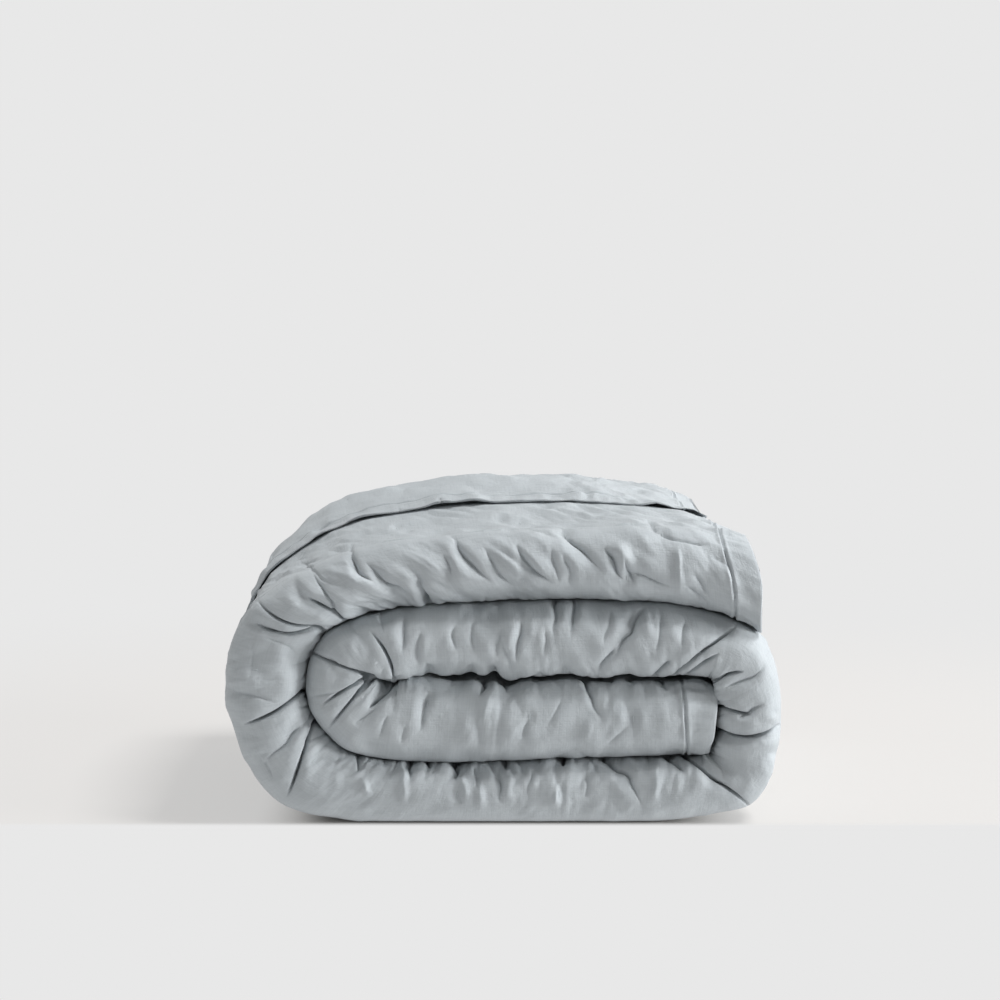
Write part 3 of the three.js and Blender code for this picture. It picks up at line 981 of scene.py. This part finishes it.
dimples = np.zeros(depth.shape)
around_step = np.roll(base, -1, axis=1) - np.roll(base, 1, axis=1)
along_step = np.gradient(base, axis=0)
for section, column in tack_places:
    window = (along[section] - TACK_WINDOW, along[section] + TACK_WINDOW)
    nearby = slice(*np.searchsorted(along, window))
    offset = base[nearby] - base[section, column]
    lengthwise_unit = along_step[section, column] / np.linalg.norm(along_step[section, column])
    around_unit = around_step[section, column] / np.linalg.norm(around_step[section, column])
    off_along = offset @ lengthwise_unit / TACK_ALONG
    off_around = offset @ around_unit / TACK_AROUND
    off_out = offset @ normals[section, column] / TACK_AROUND
    dimples[nearby] -= TACK_DIMPLE * np.exp(-(off_along**2) - off_around**2 - off_out**2)
dimples *= fine
print("tack stitches", len(tack_places))

# %% [markdown]
# The hem is pressed flat and stitched 30 mm from its edge. The row of stitches sinks into the cloth
# and leaves a small ridge on each side, and the flat band puckers a little between them and the edge.
# A hem could be a strip of its own, but on the real quilt it is the same cloth, so here it is relief.

# %% Hems
STITCH_SINK = 2.5
STITCH_GROOVE_WIDTH = 1.2
STITCH_RIDGE = 0.9
STITCH_RIDGE_WIDTH = 1.7
RIDGE_FROM_STITCHES = 2.9
BAND_SINK = 1.1
BAND_ENDS = (HEM_BAND - 4, HEM_BAND + 26)
BAND_PUCKER = 0.55
PUCKER_LENGTH = 15
PUCKER_STRETCH = 0.25
PUCKER_STARTS = (2, 12)
PUCKER_ENDS = (32, 50)
LONG_HEM_SHARE = 1.1
LONG_HEM_STARTS = (-1, 3)
END_HEM_SEED = 41
LONG_HEM_SEED = 42


def hem_height(edge_distance, along_hem, seed):
    """The height of a hem by the distance from its edge."""
    off = edge_distance - HEM_BAND
    groove = -STITCH_SINK * bell(off / STITCH_GROOVE_WIDTH)
    for side in (-1, 1):
        groove = groove + STITCH_RIDGE * bell((off - side * RIDGE_FROM_STITCHES) / STITCH_RIDGE_WIDTH)
    band = -BAND_SINK * (1 - smooth_step(edge_distance, *BAND_ENDS))
    pucker = BAND_PUCKER * ripples(along_hem, edge_distance * PUCKER_STRETCH, PUCKER_LENGTH, seed)
    pucker = pucker * smooth_step(edge_distance, *PUCKER_STARTS)
    return groove + band + pucker * (1 - smooth_step(edge_distance, *PUCKER_ENDS))


end_hem = hem_height(end_distance, crosswise, END_HEM_SEED) * fine
flap_edge = depth - OUTER_HEM_SETBACK
long_hem = LONG_HEM_SHARE * hem_height(flap_edge, lengthwise, LONG_HEM_SEED) * is_part["flap"]
long_hem = long_hem * smooth_step(flap_edge, *LONG_HEM_STARTS)
print("hems laid, the deepest place", round(float(end_hem.min()), 1), "mm")

# %% [markdown]
# The outermost ply ends in a free hem on top, which doesn't lie quite flat: it lifts off in a few
# places, and a hump raises it off the left shoulder. Both faces of the ply move together, so that it
# keeps its thickness.

# %% The free edge of the top ply
Lift = namedtuple("Lift", "x reach height")
LIFTS = [
    Lift(-178, 11, 2),
    Lift(-131, 15, 3.5),
    Lift(-62, 14, 4),
    Lift(-32, 20, 4.5),
    Lift(160, 13, 5),
    Lift(194, 14, 6),
]
EDGE_WAVES = Ripple(0.5, 30, 51)
LIFTS_ABOVE = (205, 240)
LIFT_ENDS_AT = 85
LIFT_CURL = 1.5
ON_TOP_FROM_ROW = (18.5, 20)
HUMP_AT_X = -243
HUMP_REACH = 22
HUMP_HEIGHT = 4.5
HUMP_FROM_EDGE = 20
HUMP_WIDTH = 13
HUMP_ABOVE = (214, 230)

edge_lift = sum(lift.height * np.exp(-(((seen_x - lift.x) / lift.reach) ** 2)) for lift in LIFTS)
edge_lift = edge_lift + rippled(EDGE_WAVES, lengthwise, np.zeros_like(crosswise))
edge_lift = edge_lift * smooth_step(seen_z, *LIFTS_ABOVE)
on_top = smooth_step(row_grid, *ON_TOP_FROM_ROW)
edge_fade = (1 - smooth_step(flap_edge, 0, LIFT_ENDS_AT)) ** LIFT_CURL
both_faces = is_part["flap"] + is_part["flap lining"]
lifted = np.maximum(edge_lift, 0) * edge_fade
hump = HUMP_HEIGHT * bell((seen_x - HUMP_AT_X) / HUMP_REACH)
hump = hump * bell((flap_edge - HUMP_FROM_EDGE) / HUMP_WIDTH)
lifted = (lifted + hump * smooth_step(seen_z, *HUMP_ABOVE)) * on_top * both_faces
print("free edge lifts by up to", round(float(lifted.max()), 1), "mm")

# %% [markdown]
# The heights are added up, and each point is pushed out of the cloth by their sum. Where creases,
# gathers and dimples meet they would add up to a hole, so they are levelled off together first. The
# underside is pressed flat by the quilt's own weight, and the edge at both ends is rounded. Last, a
# touch of smoothing takes off the grid's sharpest steps.

# %% Put the relief on the sheet
DEEPEST = 20
GATHER_FULLNESS = 1.2
CORE_FULLNESS = 2
CORE_FULL_UP_TO = 34
CORE_ROWS = 3
PRESSED_SHARE = 0.8
PRESSED_BELOW = (2, 18)
EDGE_ROUND = 1.6
SMOOTHING = 0.06


def level_off(height):
    return np.where(height < 0, DEEPEST * np.tanh(height / DEEPEST), height)


core_fill = CORE_FULLNESS * is_part["front fold"] * (1 - smooth_step(front_distance, 0, CORE_FULL_UP_TO))
core_fill = core_fill * (row_grid < CORE_ROWS)
height = level_off(by_hand + GATHER_FULLNESS * gathers + dimples) + core_fill + on_flap + drags
height = height + swell * between_seams + end_hem + long_hem
pressed_flat = PRESSED_SHARE * outside_turn * (1 - smooth_step(base[..., 2], *PRESSED_BELOW))
height = height * (1 - pressed_flat) * fine
edge_gap = np.clip(EDGE_ROUND - end_distance, 0, EDGE_ROUND)
edge_drop = EDGE_ROUND - np.sqrt(EDGE_ROUND**2 - edge_gap**2)
sheet = base + normals * (height - edge_drop)[..., None] + outward * lifted[..., None]
sheet[..., 2] = np.maximum(sheet[..., 2], 0)
softened = sheet.copy()
softened[1:-1] += SMOOTHING * (sheet[2:] + sheet[:-2] - 2 * sheet[1:-1])
softened += SMOOTHING * (np.roll(sheet, 1, axis=1) + np.roll(sheet, -1, axis=1) - 2 * sheet)
inner_fine = fine & np.roll(fine, 1) & np.roll(fine, -1)
sheet[:, inner_fine] = softened[:, inner_fine]
print("relief from", round(float(height.min()), 1), "to", round(float(height.max()), 1), "mm")

# %% [markdown]
# The skin joins the sections. Where the cloth shows, every section has its points. Inside, only each
# eighth section has them, and long many-cornered faces join the fine columns to the coarse ones. Both
# ends are closed with flat caps. One mesh comes out, with no gap in it. A Decimate modifier then thins
# out the flat places, which keeps the creases sharp at a fraction of the triangles.

# %% The closed mesh
FINE_BEFORE_DEPTH = 60
FINE_BEFORE_BACK = 20
MOST_TRIANGLES = 196000


def build_sheet(name, grid):
    """The closed skin over a grid of sections, with the sheet's own lengths as its UV map."""
    sections, columns = grid.shape[:2]
    blocks = (sections - 1) // COARSE_EVERY
    point_depth = full_outline[:, 0]
    near_folds = (point_depth < FINE_BEFORE_DEPTH) | (point_depth > BACK_FOLD_AT - FINE_BEFORE_BACK)
    both_folds = fine & near_folds & (part_names != "top face")
    inner_turns = rows[np.arange(blocks) * COARSE_EVERY] < HIDDEN_BEFORE_ROW
    fine_block = np.where(inner_turns[:, None], both_folds[None, :], fine[None, :])
    kept = np.zeros((sections, columns), bool)
    kept[:-1] = np.repeat(fine_block, COARSE_EVERY, axis=0)
    kept[::COARSE_EVERY] = True
    number = np.full(kept.shape, -1)
    number[kept] = np.arange(kept.sum())
    faces = []
    one_step = np.array([0, 1])
    whole_block = np.arange(COARSE_EVERY + 1)
    block_ends = whole_block[[0, -1]]
    for column in range(columns):
        after = (column + 1) % columns
        both = fine_block[:, column] & fine_block[:, after]
        for block, (near_fine, far_fine) in enumerate(fine_block[:, [column, after]]):
            first = block * COARSE_EVERY
            if both[block]:
                starts = first + whole_block[:-1, None]
                near = number[starts + one_step, column]
                far = number[starts + one_step[::-1], after]
            else:
                near = number[None, first + (whole_block if near_fine else block_ends), column]
                far = number[None, first + (whole_block if far_fine else block_ends), after][:, ::-1]
            faces += np.concatenate([near, far], axis=1).tolist()
    flat = [Vector((x * STRIP_THICKNESS, y, 0)) for y, x in zip(depth[0], share[0])]
    for a, b, c in tessellate_polygon([flat]):
        faces.append([int(number[0, i]) for i in (a, b, c)])
        faces.append([int(number[-1, i]) for i in (c, b, a)])
    mesh = bpy.data.meshes.new(name)
    mesh.from_pydata((grid[kept] * MM).tolist(), [], faces)
    layer = mesh.uv_layers.new(name="sheet")
    corner = np.zeros(len(mesh.loops), int)
    mesh.loops.foreach_get("vertex_index", corner)
    places = np.stack([lengthwise[kept], crosswise[kept]], 1) * MM
    layer.uv.foreach_set("vector", places[corner].ravel())
    return mesh


def thinned(thing, most):
    """The thing with flat places thinned out, until it has no more triangles than most."""
    thing.data.calc_loop_triangles()
    count = len(thing.data.loop_triangles)
    modifier = thing.modifiers.new("thin out", "DECIMATE")
    modifier.ratio = min(1, most / count)
    evaluated = thing.evaluated_get(bpy.context.evaluated_depsgraph_get())
    mesh = bpy.data.meshes.new_from_object(evaluated)
    thing.modifiers.remove(modifier)
    thing.data = mesh
    mesh.calc_loop_triangles()
    print(thing.name, "had", count, "triangles and keeps", len(mesh.loop_triangles))
    return mesh


quilt = bpy.data.objects.new("quilt_sheet", build_sheet("quilt_cloth", sheet))
bpy.context.scene.collection.objects.link(quilt)
mesh = thinned(quilt, MOST_TRIANGLES)
mesh.shade_smooth()
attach(quilt, "root")
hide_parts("quilt")

# %% [markdown]
# Materials are written as sums and products. A term is the output of a node, and arithmetic on terms
# adds Math nodes, so the lines below read like the formulas they stand for. Nodes could be linked one
# by one, but then a formula of five steps takes fifteen lines.

# %% Materials as formulas


class Term:
    """The output of a node, on which arithmetic makes Math nodes."""

    def __init__(self, finish, output):
        self.finish = finish
        self.output = output

    def math(self, operation, first, second):
        return self.finish.term("ShaderNodeMath", {"operation": operation}, {0: first, 1: second})

    def __add__(self, other):
        return self.math("ADD", self, other)

    def __sub__(self, other):
        return self.math("SUBTRACT", self, other)

    def __rsub__(self, other):
        return self.math("SUBTRACT", other, self)

    def __mul__(self, other):
        return self.math("MULTIPLY", self, other)

    def at_least(self, other):
        return self.math("MAXIMUM", self, other)

    def sine(self):
        return self.math("SINE", self, 0)

    def size(self):
        return self.math("ABSOLUTE", self, 0)

    def root(self):
        return self.math("SQRT", self, 0)

    __radd__ = __add__
    __rmul__ = __mul__


class Finish:
    """A material whose nodes are made as they are named."""

    def __init__(self, name):
        self.material = bpy.data.materials.new(name)
        self.material.use_nodes = True
        self.nodes = self.material.node_tree.nodes
        self.links = self.material.node_tree.links
        self.nodes.clear()

    def node(self, kind, settings=None, sockets=None):
        node = self.nodes.new(kind)
        for setting, value in (settings or {}).items():
            setattr(node, setting, value)
        for socket, value in (sockets or {}).items():
            if isinstance(value, Term):
                self.links.new(value.output, node.inputs[socket])
            else:
                node.inputs[socket].default_value = value
        return node

    def term(self, kind, settings=None, sockets=None, output=0):
        return Term(self, self.node(kind, settings, sockets).outputs[output])

    def split(self, vector):
        node = self.node("ShaderNodeSeparateXYZ", sockets={0: vector})
        return [Term(self, output) for output in node.outputs]

    def noise(self, x, y, seed, detail=2):
        """Noise from 0 to 1 over two lengths, which are already in its own grain size."""
        place = self.term("ShaderNodeCombineXYZ", sockets={0: x, 1: y, 2: seed})
        return self.term("ShaderNodeTexNoise", sockets={"Vector": place, "Scale": 1, "Detail": detail})

    def ramp(self, value, start, end, low, high):
        sockets = {"Value": value, "From Min": start, "From Max": end, "To Min": low, "To Max": high}
        return self.term("ShaderNodeMapRange", {"interpolation_type": "SMOOTHSTEP"}, sockets)

    def mix_colors(self, share, first, second):
        """Two colours mixed. They are sockets 6 and 7 of a Mix node, and output 2 is the result."""
        sockets = {0: share, 6: (*first, 1), 7: (*second, 1)}
        return self.term("ShaderNodeMix", {"data_type": "RGBA"}, sockets, output=2)

    def show(self, shader):
        self.node("ShaderNodeOutputMaterial", sockets={"Surface": shader})


print("arithmetic on terms is ready")

# %% [markdown]
# Washed linen is a plain weave of uneven yarn: here and there a thicker stretch of yarn, a slub, runs
# along the cloth or across it. Washing leaves it softly crumpled, matt and a little paler on the yarn's
# high places. The weave follows the sheet's own lengths, so it turns and folds with the cloth.

# %% Linen
YARN_PITCH = 0.0011
YARN_HEIGHT = 0.00005
SLUB_WIDTH = 0.0013
SLUB_LENGTH = 0.035
SLUB_HEIGHT = 0.00022
CRUMPLE_GRAIN = 0.009
CRUMPLE_HEIGHT = 0.0011
FINE_CRUMPLE_GRAIN = 0.0032
FINE_CRUMPLE_HEIGHT = 0.00022
CLOUD_GRAIN = 0.06
LINEN_DARK = (0.427, 0.461, 0.482)
LINEN_LIGHT = (0.517, 0.552, 0.572)
MIDDLE_PALENESS = 0.5
SLUB_PALENESS = 0.9
CLOUD_PALENESS = 0.7
WEAVE_PALENESS = 0.1
LINEN_ROUGHNESS = 0.84
CRUMPLE_ROUGHNESS = 0.12
LINEN_SPECULAR = 0.25
LINEN_SHEEN = 0.12
SHEEN_ROUGHNESS = 0.5

linen = Finish("linen")
lengthwise_m, crosswise_m, _ = linen.split(linen.term("ShaderNodeUVMap", {"uv_map": "sheet"}))
yarns = 2 * pi / YARN_PITCH


def cloth_noise(grain_along, grain_across, seed, detail=2):
    """Noise over the flat sheet, with grains of a length along and across it in metres."""
    return linen.noise(lengthwise_m * (1 / grain_along), crosswise_m * (1 / grain_across), seed, detail)


weave = (lengthwise_m * yarns).sine() * (crosswise_m * yarns).sine()
slubs = cloth_noise(SLUB_WIDTH, SLUB_LENGTH, seed=1) + cloth_noise(SLUB_LENGTH, SLUB_WIDTH, seed=2)
crumple = cloth_noise(CRUMPLE_GRAIN, CRUMPLE_GRAIN, seed=3, detail=4)
fine_crumple = cloth_noise(FINE_CRUMPLE_GRAIN, FINE_CRUMPLE_GRAIN, seed=4, detail=3)
cloud = cloth_noise(CLOUD_GRAIN, CLOUD_GRAIN, seed=5, detail=3)
relief = weave * YARN_HEIGHT + slubs * SLUB_HEIGHT
relief = relief + crumple * CRUMPLE_HEIGHT + fine_crumple * FINE_CRUMPLE_HEIGHT
paleness = MIDDLE_PALENESS + (slubs - 1) * SLUB_PALENESS + (cloud - 0.5) * CLOUD_PALENESS
paleness = paleness + weave * WEAVE_PALENESS
linen_color = linen.mix_colors(paleness, LINEN_DARK, LINEN_LIGHT)
bump = linen.term("ShaderNodeBump", sockets={"Height": relief, "Distance": 1, "Strength": 1})
cloth = linen.term(
    "ShaderNodeBsdfPrincipled",
    sockets={
        "Base Color": linen_color,
        "Roughness": LINEN_ROUGHNESS + crumple * CRUMPLE_ROUGHNESS,
        "Normal": bump,
        "Specular IOR Level": LINEN_SPECULAR,
        "Sheen Weight": LINEN_SHEEN,
        "Sheen Roughness": SHEEN_ROUGHNESS,
    },
)
linen.show(cloth)
mesh.materials.append(linen.material)
print("material", linen.material.name, "with", len(linen.nodes), "nodes")

# %% [markdown]
# The thread is of the cloth's own colour. The light and shade on its twisted plies are painted into it
# as fine light and dark bands across it, which a sine over its place makes well enough at this size.

# %% Thread
# Painted light and shade: the lit colour and the shaded colour of one thread, and how often its bands
# repeat.
THREAD_PAINTED_LIGHT = (0.56, 0.6, 0.62)
THREAD_PAINTED_SHADE = (0.44, 0.48, 0.5)
THREAD_TWIST = 900
TWIST_MIDDLE = 0.6
PAINTED_TWIST_SHARE = 0.3
THREAD_ROUGHNESS = 0.7

thread = Finish("thread")
thread_x, thread_y, thread_z = thread.split(thread.term("ShaderNodeTexCoord", output="Object"))
# Painted light and shade of the twisted plies, as light and dark bands across each stitch.
painted_twist_shade = ((thread_x + thread_y + thread_z) * (THREAD_TWIST * 2 * pi)).sine()
thread_color = thread.mix_colors(TWIST_MIDDLE + painted_twist_shade * PAINTED_TWIST_SHARE, THREAD_PAINTED_SHADE, THREAD_PAINTED_LIGHT)
thread_looks = {"Base Color": thread_color, "Roughness": THREAD_ROUGHNESS}
thread.show(thread.term("ShaderNodeBsdfPrincipled", sockets=thread_looks))
print("material", thread.material.name, "with", len(thread.nodes), "nodes")

# %% [markdown]
# The stitches are sewn on by Geometry Nodes. Each stitch is one small rounded piece of thread, set on
# a point that carries the way the seam runs and the way out of the cloth. The same nodes sew the hem
# rows and the longer tack stitches of the quilting. A loop could copy them one by one, but the nodes
# make hundreds at once from two sizes and a seed.

# %% Sewing nodes
SEWING_INPUTS = {
    "Points": "NodeSocketGeometry",
    "Stitch length": "NodeSocketFloat",
    "Thread radius": "NodeSocketFloat",
    "Seed": "NodeSocketInt",
    "Thread": "NodeSocketMaterial",
}
LEAST_HALF_STITCH = 0.42
MOST_HALF_STITCH = 0.54
STITCH_SEGMENTS = 6
STITCH_RINGS = 4
# The places of the sockets that a Random Value node uses for a plain number.
RANDOM_FLOAT = {"least": 2, "most": 3, "seed": 8, "value": 1}


def sewing_tree():
    """The node tree that sets one stitch on each point it is given."""
    tree = bpy.data.node_groups.new("sewing", "GeometryNodeTree")
    for name, kind in SEWING_INPUTS.items():
        tree.interface.new_socket(name, in_out="INPUT", socket_type=kind)
    tree.interface.new_socket("Stitches", in_out="OUTPUT", socket_type="NodeSocketGeometry")
    given = tree.nodes.new("NodeGroupInput").outputs

    def node(kind, settings, sockets):
        made = tree.nodes.new(kind)
        for setting, value in settings.items():
            setattr(made, setting, value)
        for socket, value in sockets.items():
            if isinstance(value, bpy.types.NodeSocket):
                tree.links.new(value, made.inputs[socket])
            else:
                made.inputs[socket].default_value = value
        return made.outputs

    def carried(name):
        return node("GeometryNodeInputNamedAttribute", {"data_type": "FLOAT_VECTOR"}, {"Name": name})[0]

    uneven = {
        RANDOM_FLOAT["least"]: LEAST_HALF_STITCH,
        RANDOM_FLOAT["most"]: MOST_HALF_STITCH,
        RANDOM_FLOAT["seed"]: given["Seed"],
    }
    varied = node("FunctionNodeRandomValue", {"data_type": "FLOAT"}, uneven)[RANDOM_FLOAT["value"]]
    half = node("ShaderNodeMath", {"operation": "MULTIPLY"}, {0: given["Stitch length"], 1: varied})[0]
    radius = given["Thread radius"]
    scale = node("ShaderNodeCombineXYZ", {}, {0: half, 1: radius, 2: radius})[0]
    turn = node("FunctionNodeAlignRotationToVector", {"axis": "X"}, {"Vector": carried("way")})[0]
    turn = node(
        "FunctionNodeAlignRotationToVector",
        {"axis": "Z", "pivot_axis": "X"},
        {"Rotation": turn, "Vector": carried("out")},
    )[0]
    round_piece = {"Segments": STITCH_SEGMENTS, "Rings": STITCH_RINGS, "Radius": 1}
    stitch = node("GeometryNodeMeshUVSphere", {}, round_piece)[0]
    sewn = node(
        "GeometryNodeInstanceOnPoints",
        {},
        {"Points": given["Points"], "Instance": stitch, "Rotation": turn, "Scale": scale},
    )[0]
    sewn = node("GeometryNodeRealizeInstances", {}, {0: sewn})[0]
    sewn = node("GeometryNodeSetShadeSmooth", {}, {0: sewn})[0]
    sewn = node("GeometryNodeSetMaterial", {}, {"Geometry": sewn, "Material": given["Thread"]})[0]
    tree.links.new(sewn, tree.nodes.new("NodeGroupOutput").inputs[0])
    return tree


def sew(name, places, ways, outs, stitch_length, radius, seed):
    """Stitches at places in millimetres, as one plain mesh."""
    mesh = bpy.data.meshes.new(name)
    mesh.from_pydata((places * MM).tolist(), [], [])
    for attribute, vectors in (("way", ways), ("out", outs)):
        layer = mesh.attributes.new(attribute, "FLOAT_VECTOR", "POINT")
        layer.data.foreach_set("vector", vectors.astype(float).ravel())
    thing = bpy.data.objects.new(name, mesh)
    bpy.context.scene.collection.objects.link(thing)
    modifier = thing.modifiers.new("sewing", "NODES")
    modifier.node_group = sewing
    sizes = {
        "Stitch length": stitch_length * MM,
        "Thread radius": radius * MM,
        "Seed": seed,
        "Thread": thread.material,
    }
    for item in sewing.interface.items_tree:
        if item.name in sizes:
            modifier[item.identifier] = sizes[item.name]
    evaluated = thing.evaluated_get(bpy.context.evaluated_depsgraph_get())
    sewn = bpy.data.meshes.new_from_object(evaluated)
    thing.modifiers.remove(modifier)
    thing.data = sewn
    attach(thing, "root")
    print(name, len(places), "stitches,", len(sewn.polygons), "faces")
    return thing


sewing = sewing_tree()
print("sewing nodes", len(sewing.nodes))

# %% [markdown]
# One row of stitches runs 30 mm inside each hem that shows: over the strip's inner end, over its outer
# end from the back fold to the front one, and along the free hem on top.

# %% Rows of stitches and tacks
STITCH_PITCH = 4
STITCH_LENGTH = 3.1
THREAD_RADIUS = 0.45
TACK_LENGTH = 8.5
TACK_RADIUS = 0.6
OVER_CLOTH = 0.15
HEM_SEED = 3
TACK_SEED = 4
HEM_FROM_ROW = 11.5

outs = surface_normals(sheet)


def above_floor(places):
    """The places of stitches, no lower than a stitch's own radius."""
    return np.maximum(places, [-np.inf, -np.inf, TACK_RADIUS])


def row_of_stitches(line, line_outs):
    """Points at the stitch pitch along a line, with the way ahead and the way out at each."""
    steps = np.linalg.norm(np.diff(line, axis=0), axis=1)
    way = np.concatenate([[0], np.cumsum(steps)])
    at = np.arange(STITCH_PITCH / 2, way[-1], STITCH_PITCH)
    places = np.stack([np.interp(at, way, line[:, axis]) for axis in range(3)], 1)
    out = np.stack([np.interp(at, way, line_outs[:, axis]) for axis in range(3)], 1)
    return above_floor(places + out * OVER_CLOTH), np.gradient(places, axis=0), out


def hem_section(distance_along):
    """The sheet's section at a distance along the strip, between its two neighbours."""
    before = np.searchsorted(along, distance_along) - 1
    way = (distance_along - along[before]) / (along[before + 1] - along[before])
    return blend(sheet[before], sheet[before + 1], way), blend(outs[before], outs[before + 1], way)


inner_line, inner_outs = hem_section(HEM_BAND)
outer_line, outer_outs = hem_section(strip_length - HEM_BAND)
front_columns = np.flatnonzero(front_part[-1] > 0.5)
hem_column = np.flatnonzero((part_names == "flap") & (full_outline[:, 0] == OUTER_HEM_SETBACK + HEM_BAND))[0]
outside = np.flatnonzero(rows > HEM_FROM_ROW)
inner_front = np.flatnonzero(part_names == "front fold")
hem_rows = [
    row_of_stitches(inner_line[inner_front], inner_outs[inner_front]),
    row_of_stitches(outer_line[front_columns], outer_outs[front_columns]),
    row_of_stitches(outer_line[outer_columns], outer_outs[outer_columns]),
    row_of_stitches(sheet[outside, hem_column], outs[outside, hem_column]),
]
places, ways, seam_outs = (np.concatenate(parts) for parts in zip(*hem_rows))
hem_stitches = sew("hem_stitches", places, ways, seam_outs, STITCH_LENGTH, THREAD_RADIUS, HEM_SEED)

tack_sections, tack_columns = np.array(tack_places).T
tack_ways = (np.roll(sheet, -1, axis=1) - np.roll(sheet, 1, axis=1))[tack_sections, tack_columns]
tack_outs = outs[tack_sections, tack_columns]
tack_points = above_floor(sheet[tack_sections, tack_columns] + tack_outs * OVER_CLOTH)
tack_stitches = sew("tack_stitches", tack_points, tack_ways, tack_outs, TACK_LENGTH, TACK_RADIUS, TACK_SEED)

# %% [markdown]
# The studio is a pale floor that bends up into a wall behind. Far from the quilt the floor and the
# wall glow evenly, so that they look alike all over. Beside and behind it they mostly show the light
# and the soft shadow that fall on them, and from its front edge forwards the floor is evenly bright.
# A floor without any glow would need far more lamps to be as pale.

# %% Stage
STAGE_HALF_WIDTH = 7
STAGE_FRONT = -4
STAGE_BACK = 5
STAGE_HEIGHT = 6
BEND_RADIUS = 1.5
BEND_STEPS = 16
# Colours, shares of glow, and the distances in metres over which the glow changes.
STAGE_GREY = 0.807
STAGE_LIT = (0.745, 0.711, 0.677)
GLOW_UNDER = 0.02
GLOW_BESIDE = 0.54
BESIDE_WITHIN = 0.09
GLOW_FULL = 1.2
SHADE_HALF_WIDTH = 0.17
SHADE_BACK = 0.2
FRONT_GLOW_FROM = -0.211
FRONT_GLOW_FULL = -0.231

bend = [
    (STAGE_BACK - BEND_RADIUS + BEND_RADIUS * sin(a), BEND_RADIUS - BEND_RADIUS * cos(a))
    for a in np.linspace(0, pi / 2, BEND_STEPS + 1)
]
profile = [(STAGE_FRONT, 0), *bend, (STAGE_BACK, STAGE_HEIGHT)]
stage_points = [(side * STAGE_HALF_WIDTH, y, z) for y, z in profile for side in (-1, 1)]
stage_faces = [(2 * i, 2 * i + 1, 2 * i + 3, 2 * i + 2) for i in range(len(profile) - 1)]
floor_mesh = bpy.data.meshes.new("floor")
floor_mesh.from_pydata(stage_points, [], stage_faces)
floor = bpy.data.objects.new("floor", floor_mesh)
bpy.context.scene.collection.objects.link(floor)
paper = Finish("paper")
floor_x, floor_y, _ = paper.split(paper.term("ShaderNodeTexCoord", output="Object"))
past_side = (floor_x.size() - SHADE_HALF_WIDTH).at_least(0)
past_back = (floor_y - SHADE_BACK).at_least(0)
away = (past_side * past_side + past_back * past_back).root()
glow_share = paper.ramp(away, 0, BESIDE_WITHIN, GLOW_UNDER, GLOW_BESIDE)
glow_share = glow_share + paper.ramp(away, BESIDE_WITHIN, GLOW_FULL, 0, 1 - GLOW_BESIDE)
in_front = paper.ramp(floor_y, FRONT_GLOW_FULL, FRONT_GLOW_FROM, 1, 0)
glow_share = glow_share + (1 - glow_share) * in_front
lit = paper.term("ShaderNodeBsdfDiffuse", sockets={"Color": (*STAGE_LIT, 1)})
glowing = paper.term("ShaderNodeEmission", sockets={"Color": (STAGE_GREY, STAGE_GREY, STAGE_GREY, 1)})
paper.show(paper.term("ShaderNodeMixShader", sockets={0: glow_share, 1: lit, 2: glowing}))
floor_mesh.materials.append(paper.material)
print("stage", 2 * STAGE_HALF_WIDTH, "m wide and", STAGE_BACK - STAGE_FRONT, "m deep")

# %% [markdown]
# The main lamp is large and high on the right, so that the top is bright and the shadows are soft. A
# second one, low at the right, brings out the right side, and a weak one opens the left. The sky fills
# in what they leave. One lamp alone would leave the sides too dark.

# %% Lights
LIGHT_TARGET = Vector((0, 0, 0.15))
LAMP_COLOR = (0.99, 1, 1.01)
Lamp = namedtuple("Lamp", "name towards distance size watts")
LAMPS = [
    Lamp("key", (0.5, -0.06, 0.86), 6.2, 2.2, 298),
    Lamp("side", (0.97, -0.24, 0.05), 5, 1.5, 225),
    Lamp("far side", (-0.85, -0.1, 0.5), 6, 2.2, 30),
]
SKY_COLOR = (1, 0.99, 0.975)
SKY_STRENGTH = 0.325

for lamp in LAMPS:
    light = bpy.data.lights.new(lamp.name, "AREA")
    light.size = lamp.size
    light.energy = lamp.watts
    light.color = LAMP_COLOR
    thing = bpy.data.objects.new(lamp.name, light)
    bpy.context.scene.collection.objects.link(thing)
    towards = Vector(lamp.towards).normalized()
    thing.location = LIGHT_TARGET + towards * lamp.distance
    thing.rotation_euler = towards.to_track_quat("Z", "Y").to_euler()
world = bpy.data.worlds.new("studio")
bpy.context.scene.world = world
world.use_nodes = True
sky = world.node_tree.nodes["Background"]
sky.inputs["Color"].default_value = (*SKY_COLOR, 1)
sky.inputs["Strength"].default_value = SKY_STRENGTH
bpy.context.scene.view_settings.view_transform = "Standard"
print("lamps", *(lamp.name for lamp in LAMPS))
